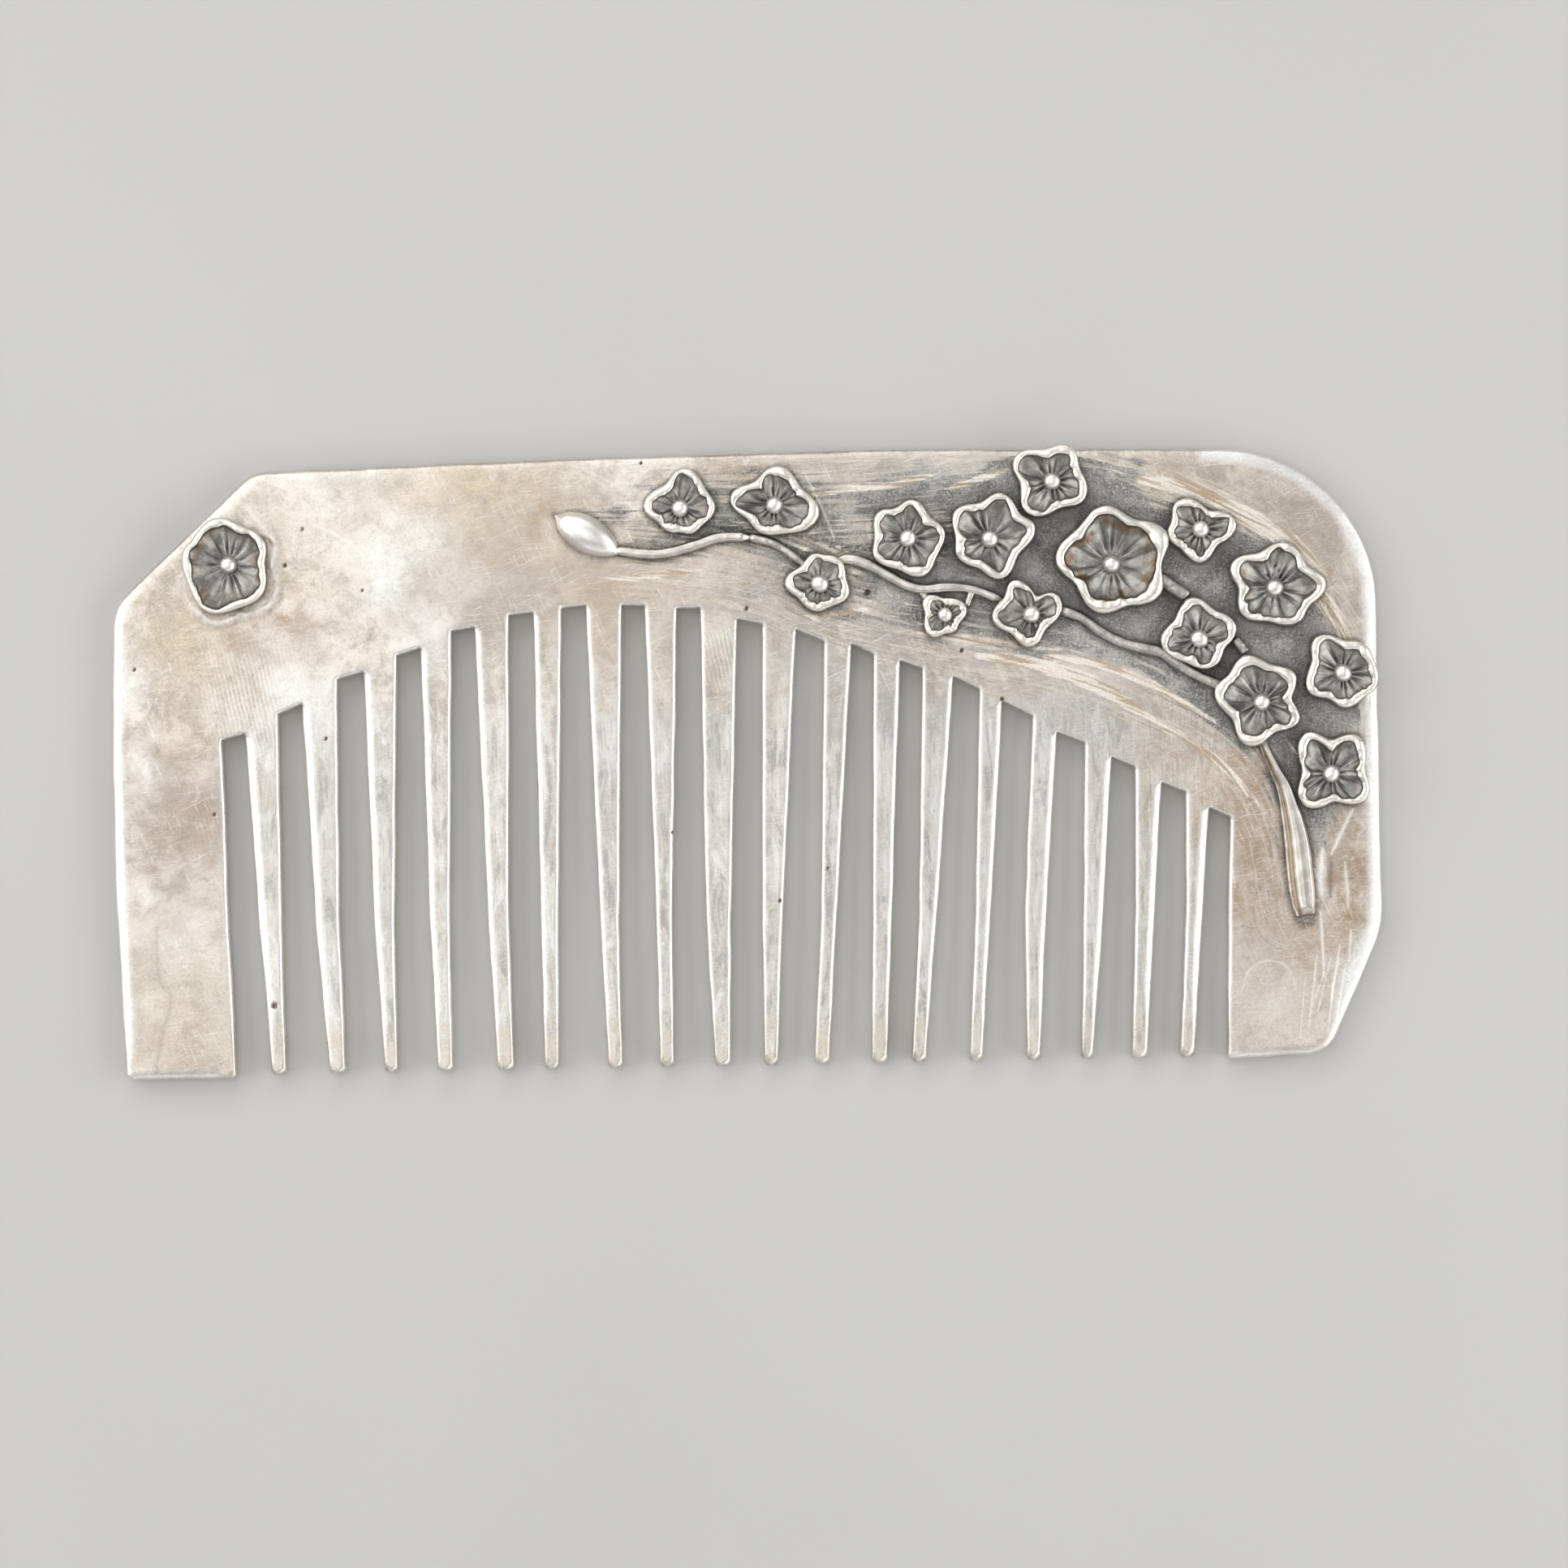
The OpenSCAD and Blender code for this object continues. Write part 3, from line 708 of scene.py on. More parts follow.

# Tarnish and wear, and the spots of painted glints (bright): x, y, radius, share
SPOTS = {
    "cream": [
        (-49, -20, 6.5, 0.9), (-48, -15.5, 3, 0.8), (-52, -14, 3, 0.5), (-30, 24, 9, 0.4), (-8, 15, 7, 0.5),
        (-18, 20, 6, 0.4), (20, 26, 9, 0.3), (-46, 14, 6, 0.3), (44, -24, 5, 0.5)
    ],
    "mauve": [
        (-49, -9, 4, 0.7), (-12, 14, 5, 0.9), (3, 14, 4, 0.9), (-49, -4, 6, 0.8), (-26, 15, 4, 0.6),
        (-5, 17, 3, 0.6), (46, 23, 5, 0.9), (50, 19, 4, 0.9), (52.5, 14, 2.5, 0.7), (45, -15, 5, 0.6),
        (-47.5, -7, 5, 0.6), (43, -8, 4, 0.6), (36, -1, 5, 0.4), (-21, 15.2, 6, 0.9), (30, 2, 5, 0.4),
        (-49, -1, 5, 0.3), (16, 4, 6, 0.3), (-4, 15.5, 5, 0.6), (-13, 13, 5, 0.4)
    ],
    "tan": [
        (-48, 10, 4, 0.9), (-24, 23, 6, 0.8), (-33, 20, 4, 0.3), (-47, 4, 3, 0.35), (-14, 14, 5, 0.5),
        (-18, 24, 4, 0.6), (-43.5, 24, 3, 0.45), (2, 26, 8, 0.4), (40, -4, 5, 0.5), (49, -20, 5, 0.35),
        (-52, 16, 3, 0.3), (-41, 22, 3, 0.45), (-46.5, 12, 3, 0.7), (-37, 15, 3, 0.35), (-17, 19, 3, 0.6),
        (35, 23, 3, 0.5)
    ],
    "brown": [
        (-42.6, 10.6, 1.5, 0.6), (-37.6, 10.2, 1.6, 0.55), (43.5, -5, 4.5, 0.7), (44.5, -12, 4.5, 0.6),
        (52.3, -11, 3.2, 0.8), (51, -16, 3.4, 0.7), (-40, 23, 1.5, 0.4), (-18, 21.5, 2, 0.55),
        (-12, 15.5, 2.5, 0.4), (25.4, 8.4, 1.6, 0.7), (34, -3, 3, 0.3), (-46.5, -6, 4, 0.4),
        (46.5, -16, 3.5, 0.6), (-50, 1, 3, 0.25), (-47.8, 19.5, 1.2, 0.5), (40, 1, 3, 0.5),
        (52.6, -6.5, 1.6, 0.6), (52, -13.5, 2, 1), (50.6, -11.6, 1, 1), (42.4, -0.4, 1.8, 0.9),
        (44.6, -7.5, 2.4, 0.9), (46.6, -17.6, 1.8, 0.8), (43.4, -15, 1.6, 0.7), (45.6, -12.4, 1.8, 0.7),
        (44.8, -9, 5.5, 0.85), (48.2, -17.5, 4.5, 0.6), (44.2, -3.5, 3.5, 0.9), (42.6, -12, 2.5, 0.8),
        (52.6, -9.2, 1.3, 1), (37, 1.5, 3, 0.5), (-43.4, 11.7, 1.2, 1), (-38.2, 12, 1.2, 0.9),
        (-22, 17.5, 3, 0.45)
    ],
    "blue": [
        (14.5, 24.8, 3.2, 1), (12.2, 11.6, 2.4, 1), (1, 15, 1.6, 1), (20.5, 10.8, 2, 0.8),
        (-3.5, 23.5, 1.8, 0.6), (-22, 15, 8, 0.35), (2, 10, 6, 0.5), (10, 8, 6, 0.7), (16, 3, 5, 0.6),
        (28, 4, 6, 0.6), (8, 24, 5, 0.6), (20, 24, 5, 0.7), (33, 1, 4, 0.5), (-36, -8, 8, 0.3),
        (-8, 2, 8, 0.35), (20, -8, 14, 0.35), (1, 14, 3, 0.7)
    ],
    "bright": [
        (-31, 18, 4.5, 1), (-38, 7, 5, 0.9), (-28, 11, 3.5, 0.6), (-53, 0, 2.2, 0.9), (-53.2, 8, 2, 0.8),
        (-38, 24, 4, 0.6), (-10, 25.5, 4, 0.4), (-46, 16, 2, 0.5), (-1, 10, 2.4, 0.6),
        (-52.5, -10, 1.6, 0.6), (-44, 6, 4, 0.5), (-25, 17, 3, 0.4), (-42, 2, 3, 0.6),
        (44.5, -21.5, 4.5, 0.5), (53, -21, 3, 0.8), (50.4, -18, 1.5, 0.6), (-50, -14, 3, 0.5),
        (-47, 23, 3, 0.5), (-34, 25, 5, 0.5)
    ],
    "hatch": [(-43, 6.6, 4, 0.8), (-2.6, 9.4, 2.2, 0.9), (-46.5, -5, 2.5, 0.3)],
}


def sheet_outline():
    """The outline of the whole sheet: the edges of the CAD nodes' top faces that no two faces share."""
    ends = set()
    for name in SHEET_NODES:
        corners = np.round(node_points(name), 3)
        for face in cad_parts[name].data.polygons:
            if corners[list(face.vertices), 2].min() < SHEET_T - 0.01:
                continue
            loop = [tuple(corners[i, :2]) for i in face.vertices]
            for a, b in zip(loop, loop[1:] + loop[:1]):
                if (b, a) in ends:
                    ends.remove((b, a))
                else:
                    ends.add((a, b))
    follow = dict(ends)
    start = min(follow)
    loop = [start]
    while follow[loop[-1]] != start:
        loop.append(follow[loop[-1]])
    return np.array(loop)


def resampled(loop, step):
    out = []
    for a, b in zip(loop, np.roll(loop, -1, axis=0)):
        count = max(1, math.ceil(np.hypot(*(b - a)) / step))
        for t in np.arange(count) / count:
            out.append(a + (b - a) * t)
    return np.array(out)


def hand_sawn(loop):
    """The outline with its corners softened and the slight waviness of a saw and a file."""
    loop = resampled(loop, OUTLINE_STEP)
    ahead = np.roll(loop, -1, axis=0) - loop
    behind = loop - np.roll(loop, 1, axis=0)
    turn = np.arctan2(behind[:, 0] * ahead[:, 1] - behind[:, 1] * ahead[:, 0], (behind * ahead).sum(1))
    sharp = (np.abs(turn) > math.radians(35))[:, None]
    for _ in range(2):
        loop = np.where(sharp, loop, smoothed(loop))
    wave = wave_noise(loop[:, 0] * 0.45, loop[:, 1] * 0.28, 2)
    return loop + inward(loop) * (0.035 * wave + 0.02)[:, None]


def left_of(along):
    """Unit normals on the left of each direction."""
    along = along / np.hypot(along[:, 0], along[:, 1])[:, None]
    return np.stack([-along[:, 1], along[:, 0]], axis=1)


def inward(loop):
    """Normals of a closed anticlockwise line, towards its inside."""
    ahead = np.roll(loop, -1, axis=0) - loop
    ahead /= np.hypot(ahead[:, 0], ahead[:, 1])[:, None]
    return left_of(ahead + np.roll(ahead, 1, axis=0))


def route_line(route, step):
    """Points of a smooth line through a route on the plate, in the part's frame."""
    return curve_through([(x, y, 1) for x, y in route], step)[:, :2]


class Edge:
    """Signed distance to a closed outline, above zero inside."""

    def __init__(self, loop):
        self.loop = loop
        self.normal = inward(loop)
        self.tree = tree_of(loop)

    def nearest(self, points):
        return np.array([self.tree.find((p[0], p[1], 0))[1] for p in points])

    def depth(self, points, near=None):
        near = self.nearest(points) if near is None else near
        from_corner = points - self.loop[near]
        best = np.hypot(from_corner[:, 0], from_corner[:, 1])
        signed = np.where((from_corner * self.normal[near]).sum(1) >= 0, best, -best)
        count = len(self.loop)
        for shift in (-1, 0):
            a = self.loop[(near + shift) % count]
            b = self.loop[(near + shift + 1) % count]
            ab, ap = b - a, points - a
            t = np.clip((ap * ab).sum(1) / (ab * ab).sum(1), 0, 1)
            off = ap - ab * t[:, None]
            distance = np.hypot(off[:, 0], off[:, 1])
            side = np.where(ab[:, 0] * ap[:, 1] - ab[:, 1] * ap[:, 0] >= 0, 1, -1)
            closer = distance < best - 1e-7
            best = np.where(closer, distance, best)
            signed = np.where(closer, side * distance, signed)
        return signed


def hex_grid(step, low, high):
    rows = np.arange(low[1], high[1], step * math.sqrt(3) / 2)
    columns = np.arange(low[0], high[0], step)
    x, y = np.meshgrid(columns, rows)
    x = x + (np.arange(len(rows)) % 2 * step / 2)[:, None]
    return np.stack([x.ravel(), y.ravel()], axis=1)


def circle_points(centre, radius, count):
    a = np.linspace(0, 2 * math.pi, count, endpoint=False)
    return np.stack([centre[0] + radius * np.cos(a), centre[1] + radius * np.sin(a)], axis=1)


def nearest_on_line(points, line):
    """For each point, its distance to a line of points and the index of the nearest one."""
    tree = tree_of(line)
    found = [tree.find((p[0], p[1], 0)) for p in points]
    return np.array([f[2] for f in found]), np.array([f[1] for f in found])


def stroke(points, route, step):
    """For each point, its distance to a stroke on the plate and how far along it lies, from 0 to 1."""
    line = route_line(route, step)
    distance, near = nearest_on_line(points, line)
    return distance, near / (len(line) - 1)


def triangulated(loop, inner, edge):
    """Triangles over an outline and points inside it, and the place of each outline point in them."""
    points = [Vector(p) for p in loop] + [Vector(p) for p in inner]
    edges = [(i, (i + 1) % len(loop)) for i in range(len(loop))]
    verts, _, faces, sources, _, _ = delaunay_2d_cdt(points, edges, [], 1, 1e-5, True)
    middles = [sum((verts[i] for i in f), Vector((0, 0))) / len(f) for f in faces]
    inside = edge.depth(np.array([tuple(m) for m in middles])) > 0
    faces = [f for f, keep in zip(faces, inside) if keep]
    place = {}
    for new, olds in enumerate(sources):
        for old in olds:
            if old < len(loop):
                place[old] = new
    return np.array([tuple(v) for v in verts]), faces, [place[i] for i in range(len(loop))]


def inner_rings(loop, edge, offsets):
    """The outline moved inwards, without the points that come too near another stretch of it."""
    rings = [(loop + inward(loop) * offset, offset) for offset in offsets]
    return [ring[edge.depth(ring) > 0.97 * offset] for ring, offset in rings]


def front_points(loop, edge):
    """Inner points of the front: rings along the worn edge, an even grid, and rings round each detail."""
    sets = inner_rings(loop, edge, RING_OFFSETS)
    grid = hex_grid(INNER_STEP, loop.min(0), loop.max(0))
    keep = edge.depth(grid) > RING_OFFSETS[-1] + 0.6 * INNER_STEP
    for b in blossoms:
        gap = b.gap(grid[:, 0], grid[:, 1])
        keep &= (gap > 0.9) | ((gap < -1.2) & (np.arange(len(grid)) % 3 == 0))
    for x, y, r in PITS:
        keep &= np.hypot(grid[:, 0] - x, grid[:, 1] - y) > 2 * r
    sets.append(grid[keep])
    degrees = np.arange(0, 360, 4)
    across, up = toward(degrees)
    for b in blossoms:
        for offset in CUP_OFFSETS:
            r = b.reach(degrees) + offset
            ring = np.stack([b.centre[0] + r * across, b.centre[1] + r * up], axis=1)
            clear = edge.depth(ring) > RING_OFFSETS[-1] * 0.6
            for other in blossoms:
                if other is not b:
                    clear &= other.gap(ring[:, 0], ring[:, 1]) > offset
            sets.append(ring[clear])
    for route, half, _, _ in SCRATCHES:
        line = route_line(route, 0.2)
        side = left_of(np.gradient(line, axis=0))
        for offset in (-2.0, -0.9, 0.0, 0.9, 2.0):
            row = line + side * offset * half
            sets.append(row[edge.depth(row) > 0.3])
    for x, y, r in PITS:
        for share, count in ((0.0, 1), (0.45, 6), (0.8, 10), (1.1, 12), (1.6, 12)):
            ring = circle_points((x, y + PLATE_Y), share * r, count)
            sets.append(ring[edge.depth(ring) > 0.05])
    return np.vstack(sets)


def worn_width(loop, near):
    """Width of the worn strip behind each part of the outline.

    It is broad outside, and on the teeth broader towards the nearer end of the comb."""
    x, y = loop[near, 0], loop[near, 1]
    normal = inward(loop)[near]
    faces_left = smooth_step(-0.4, 0.4, normal[:, 0])
    toward_left = np.clip(-x / 46, 0, 1)
    toward_right = np.clip(x / 44, 0, 1)
    teeth = 0.42 + 0.62 * (faces_left * toward_left + (1 - faces_left) * toward_right) ** 1.2
    teeth *= 0.55 + 0.45 * smooth_step(-24.5, -19, y)
    teeth = np.where(np.abs(normal[:, 1]) > 0.7, 0.3, teeth)
    outer = 1.15 + 0.25 * smooth_step(25, 45, x) * smooth_step(8, 18, y)
    outer = np.where(y < -25.0, 0.8, outer)
    outer += 0.9 * (x > 45) * bell(y + 19, 4.5) + 0.35 * (x > 53) * (y > -15)
    return np.where((x > SLOTS_LEFT) & (x < SLOTS_RIGHT) & (y < SLOTS_TOP), teeth, outer)


def edge_drop(depth, width):
    """How far the worn front lies below its flat level, at a depth inside the outline."""
    r = np.clip(depth, 0, RIM_R)
    tight = RIM_R - np.sqrt(np.maximum(RIM_R ** 2 - (RIM_R - r) ** 2, 0))
    pillow = PILLOW_H * np.clip(width, 0, 1) * np.clip(1 - depth / width, 0, 1) ** 2
    return tight + pillow


def spots(x, y, table, seed):
    """Soft spots with ragged edges, for the tables of tarnish, wear and painted glints."""
    wx = x + 1.6 * spot_noise(x * 0.3 + seed, y * 0.3, 3)
    wy = y + 1.6 * spot_noise(x * 0.3, y * 0.3 + seed, 3)
    total = np.zeros(len(x))
    for sx, sy, radius, share in table:
        total = np.maximum(total, share * bell(np.hypot(wx - sx, wy - sy), radius))
    return np.clip(total, 0, 1)


def scratch_marks(xy, depth):
    """How deep the scratches cut at each point, and how light and how dark they are there."""
    cut, light, dark = np.zeros((3, len(xy)))
    for route, half, deep, tone in SCRATCHES:
        distance, share = stroke(xy, route, 0.1)
        shape = bell(distance, half * (0.35 + 0.65 * np.sin(np.pi * np.clip(share, 0.02, 0.98)) ** 0.5))
        cut += deep * shape * smooth_step(0.1, 0.5, depth)
        light = np.maximum(light, shape * max(tone, 0))
        dark = np.maximum(dark, shape * max(-tone, 0))
    return cut, light, dark


def swath_marks(xy):
    swath = np.zeros(len(xy))
    for route, half, strength in SWATHS:
        distance, share = stroke(xy, route, 0.2)
        taper = half * (0.25 + 0.75 * np.sin(np.pi * share) ** 0.6)
        swath = np.maximum(swath, strength * (1 - smooth_step(0.3, 1.3, distance / taper)))
    return swath


def cup_marks(x, y):
    """The solder that rises to each cup, the painted contact shade beside it, and the painted shade in the
    gaps round the close ones.
    """
    solder, contact_shade, gap_shade = np.zeros((3, len(x)))
    for b in blossoms:
        gap = b.gap(x, y)
        beyond = np.maximum(gap, 0)
        solder += 0.10 * bell(gap, 0.35)
        # Painted contact shade round each cup, fainter round the lone one
        contact_shade = np.maximum(contact_shade, bell(beyond, 0.34) * (0.35 if b.number == 1 else 0.8))
        if b.number > 4:
            gap_shade += 0.36 * bell(beyond, 1.0)
    return solder, contact_shade, gap_shade


def lip_marks(x, y):
    """The raised lip round the lone blossom's lower right, and the tan strip beyond it."""
    lone = blossoms[0]
    turn = np.degrees(np.arctan2(y - lone.centre[1], x - lone.centre[0]))
    side = smooth_step(-150, -120, turn) * (1 - smooth_step(40, 75, turn))
    gap = lone.gap(x, y)
    return bell(gap - 0.75 - 0.25 * wave_noise(turn * 0.05, 3.1), 0.3) * side, bell(gap - 1.3, 0.5) * side


def wire_contact_shade(xy):
    """Painted contact shade: dark lines on the sheet beside the wires, the trunk and the bud."""
    contact_shade = np.zeros(len(xy))
    for line in [*wire_lines.values(), trunk_line, bud_line]:
        distance, near = nearest_on_line(xy, line)
        gap = distance - line[near, 2] / 2
        contact_shade = np.maximum(contact_shade, 0.7 * bell(np.maximum(gap, 0), 0.3))
    return contact_shade


def pit_marks(x, y):
    """How dark the pits are at each point, and how deep."""
    dark, cut = np.zeros((2, len(x)))
    for px, py, r in PITS:
        away = np.hypot(x - px, y - py)
        dark = np.maximum(dark, 1 - smooth_step(0.5 * r, 1.15 * r, away))
        cut += 0.7 * r * (1 - smooth_step(0.1 * r, 1.1 * r, away))
    return dark, cut


def ground_marks(x, y, plate):
    """Depth inside the ragged edge of the oxidised ground, how dark it is, and where it is rubbed pale."""
    depth = Edge(resampled(np.array(GROUND, float), 0.5)).depth(plate)
    depth += 0.9 * spot_noise(x * 0.35, y * 0.35, 3)
    ragged = 0.3 * spot_noise(x * 0.25 + 5, y * 0.4, 3) * (1 - smooth_step(14, 28, x))
    strength = 0.46 + 0.46 * smooth_step(4, 26, x) + ragged
    pale = spots(x, plate[:, 1], PALE_GROUND, 40.0)
    return depth, smooth_step(-1.2, 1.8, depth) * np.clip(strength, 0, 0.92) * (1 - 0.5 * pale), pale


def streak_marks(plate, x):
    """Place along and across the nearer of the two flow lines, and how strongly the streaks show."""
    flows = []
    for flow in (LOWER_FLOW, UPPER_FLOW):
        line = curve_through([(a, b - PLATE_Y, 1) for a, b in flow], FLOW_STEP)
        distance, near = nearest_on_line(plate, line)
        ahead = line[np.minimum(near + 1, len(line) - 1), :2] - line[np.maximum(near - 1, 0), :2]
        off = plate - line[near, :2]
        side = np.where(ahead[:, 0] * off[:, 1] - ahead[:, 1] * off[:, 0] >= 0, 1.0, -1.0)
        flows.append((distance, near * FLOW_STEP, side * distance))
    lower, upper = flows
    nearer = lower[0] < upper[0]
    band = np.where(nearer, bell(lower[2] + 0.8, 2.6), bell(upper[2] - 0.2, 1.5)) * smooth_step(-16, -4, x)
    return {
        "flow_u": np.where(nearer, lower[1], upper[1] + 300),
        "flow_v": np.where(nearer, lower[2], upper[2]),
        "band": 0.9 * band,
    }


def worn_edge_highlight_marks(x, y, depth, width, inward_y):
    """How brightly the worn edge shines, partly its polish and partly a painted highlight where its rounding
    catches the side lamps: less at the tips, where it faces up the comb, and along the top.
    """
    bright = 1 - smooth_step(0.5 * width, width, depth)
    bright *= 0.25 + 0.75 * smooth_step(-25, -21.5, y)
    bright *= 1 - 0.75 * smooth_step(0.35, 0.7, -inward_y) * (1 - smooth_step(36, 42, x))
    return bright * (1 - 0.6 * smooth_step(24.5, 25.5, y) * (x < 40))


def tarnish_marks(x, y, lip, beside):
    """The spots of tarnish and wear and of painted glints, with painted glints on the lip and guard ends,
    and the cream tips of the teeth.
    """
    plate_y = y - PLATE_Y
    marks = {key: spots(x, plate_y, table, 6.0 * i + 3) for i, (key, table) in enumerate(SPOTS.items())}
    guard_end = (1 - smooth_step(-26.3, -25.6, plate_y)) * ((x < SLOTS_LEFT) | (x > 41))
    tooth_tip = (1 - smooth_step(-23.6, -21.6, y)) * (x > SLOTS_LEFT) * (x < 42)
    # Painted glints on the solder lip and the guard ends
    marks["bright"] = np.maximum.reduce([marks["bright"], 0.8 * lip, guard_end])
    marks["tan"] = np.maximum(marks["tan"], 0.7 * beside)
    marks["cream"] = np.maximum(marks["cream"], 0.85 * tooth_tip)
    return marks


def back_side(loop, edge):
    """Points and faces of the back, with its softened edge, and the place of each outline point in them."""
    sets = inner_rings(loop, edge, [offset for offset, _ in BACK_RINGS])
    grid = hex_grid(BACK_STEP, loop.min(0), loop.max(0))
    sets.append(grid[edge.depth(grid) > 0.8])
    xy, faces, rim = triangulated(loop, np.vstack(sets), edge)
    depth = np.maximum(edge.depth(xy), 0)
    depth[rim] = 0
    offsets, heights = zip((0, BACK_EDGE_Z), *BACK_RINGS)
    return np.column_stack([xy, np.interp(depth, offsets, heights)]), faces, rim


def build_plate():
    loop = hand_sawn(sheet_outline())
    edge = Edge(loop)
    xy, faces, rim = triangulated(loop, front_points(loop, edge), edge)
    x, y = xy[:, 0], xy[:, 1]
    plate = xy - (0, PLATE_Y)
    near = edge.nearest(xy)
    depth = np.maximum(edge.depth(xy, near), 0)
    depth[rim] = 0
    width = worn_width(loop, near)
    fade = smooth_step(0.3, 2.0, depth)

    scratch_cut, scratch_light, scratch_dark = scratch_marks(xy, depth)
    solder, contact_shade, gap_shade = cup_marks(x, y)
    lip, beside = lip_marks(x, y)
    pit, pit_cut = pit_marks(x, plate[:, 1])
    ground, oxide, pale = ground_marks(x, y, plate)
    hammered = 0.05 * wave_noise(x * 0.13, y * 0.13, 2) - 0.03
    lip_rise = 0.16 * lip * (1 + 0.5 * wave_noise(x * 2.2, y * 2.2, 2))
    sunk = 0.05 * smooth_step(-0.5, 1.5, ground)
    z = SHEET_T - edge_drop(depth, width) - scratch_cut - pit_cut
    z += fade * (hammered + solder + lip_rise - sunk)

    # The worn edge's near-white colour is partly polish and partly painted highlight
    worn_edge_highlight = worn_edge_highlight_marks(x, y, depth, width, edge.normal[near, 1])
    # Painted shade in the gaps between the close cups
    shadow = np.clip(gap_shade, 0, 0.55) * smooth_step(0, 2, ground) * (1 - pale)
    over_teeth = smooth_step(-47, -44, x) * (1 - smooth_step(41, 43, x))
    attributes = {
        **tarnish_marks(x, y, lip, beside),
        **streak_marks(plate, x),
        "edge": worn_edge_highlight,
        "oxide": oxide * (1 - worn_edge_highlight),
        "swath": swath_marks(xy),
        "scratch_light": scratch_light,
        "scratch_dark": scratch_dark,
        # All painted shade: beside the cups, beside the wires, trunk and bud, and between close cups
        "crevice_shade": np.maximum.reduce([contact_shade, wire_contact_shade(xy), shadow]) * fade,
        "pit": pit,
        "upright": (1 - smooth_step(2, 8, plate[:, 1])) * over_teeth,
    }

    back, back_faces, back_rim = back_side(loop, edge)
    wall = np.column_stack([loop - inward(loop) * WALL_BULGE, np.full(len(loop), WALL_Z)])
    back_start = len(xy)
    wall_start = back_start + len(back)
    all_faces = [list(f) for f in faces]
    all_faces += [[back_start + i for i in reversed(f)] for f in back_faces]
    for i in range(len(loop)):
        j = (i + 1) % len(loop)
        all_faces.append([rim[j], rim[i], wall_start + i, wall_start + j])
        below_i, below_j = back_start + back_rim[i], back_start + back_rim[j]
        all_faces.append([wall_start + j, wall_start + i, below_i, below_j])
    verts = np.vstack([np.column_stack([xy, z]), back, wall])
    # The back and the wall are evenly toned
    rest = {"tan": 0.25, "blue": 0.25, "flow_v": 40.0}
    extra = len(verts) - len(xy)
    padded = {k: np.concatenate([v, np.full(extra, rest.get(k, 0.0))]) for k, v in attributes.items()}
    return make_mesh("plate", verts, all_faces, plate_silver, padded, SHEET_NODES)


# ---- Blossoms ----

TURNS = 180
FLOOR_RINGS = 22
RIM_W = 0.66
LIP_W = 0.12
# Stretches of rim that fold inwards: direction, extra width, spread in degrees
FOLDS = {
    1: [(170, 0.15, 20)],
    10: [(33, 0.95, 15), (-35, 0.45, 22), (-105, 0.3, 20), (190, 0.15, 30)],
    13: [(2, 0.35, 14), (-68, 0.15, 20)],
    14: [(42, 0.3, 14), (-110, 0.15, 20)],
    15: [(10, 0.15, 25)],
    16: [(-140, 0.25, 18), (130, 0.15, 20)],
    3: [(-15, 0.15, 20)],
    7: [(5, 0.15, 20)],
}
# How brown the inside of a cup is below its rim, where it isn't the usual faint stain
STAINS = {10: 1.6, 1: 0.9, 2: 0.5, 13: 0.45}
FAINT_STAIN = 0.25
# Small dark holes in the floor of a cup: direction, and distance from the middle as a share of the floor
PIN_HOLES = {13: [(98, 0.40), (74, 0.47), (120, 0.50), (86, 0.58), (60, 0.36)]}
# Degrees of petal to each crease
CREASE_GAP = 26


def crease_fan(b, rng):
    """The creases in a cup's floor, a few to each petal: direction, strength, and where each one ends."""
    turns, kinds = [], []
    tips = sorted(b.tips)
    for tip, next_tip in zip(tips, tips[1:] + tips[:1]):
        after = turn_gap(next_tip, tip) % 360
        count = max(2, round(after / CREASE_GAP))
        for i in range(count):
            turns.append((tip + after * (i + 0.5) / count + rng.uniform(-5, 5)) % 360)
            kinds.append(rng.uniform(0.55, 1.1))
    order = np.argsort(turns)
    return np.array(turns)[order], np.array(kinds)[order], rng.uniform(0.72, 0.95, len(turns))


def crease_lines(a, radius, share, creases):
    """How strongly the creases cut one ring of a cup's floor, in each direction."""
    line = np.zeros(len(a))
    for turn, kind, end in zip(*creases):
        across = np.abs(np.radians(turn_gap(a, turn))) * radius
        shown = smooth_step(0.22, 0.42, share) * (1 - smooth_step(end - 0.25, end, share))
        line = np.maximum(line, kind * shown * np.clip(1 - across / 0.14, 0, 1))
    return line


def pin_holes(b, a, radius, share, inner):
    """How strongly the small holes cut one ring of a cup's floor, in each direction."""
    holes = np.zeros(len(a))
    for turn, place in PIN_HOLES.get(b.number, []):
        across = np.abs(np.radians(turn_gap(a, turn))) * radius
        holes = np.maximum(holes, bell(np.hypot(across, (share - place) * inner), 0.14))
    return holes


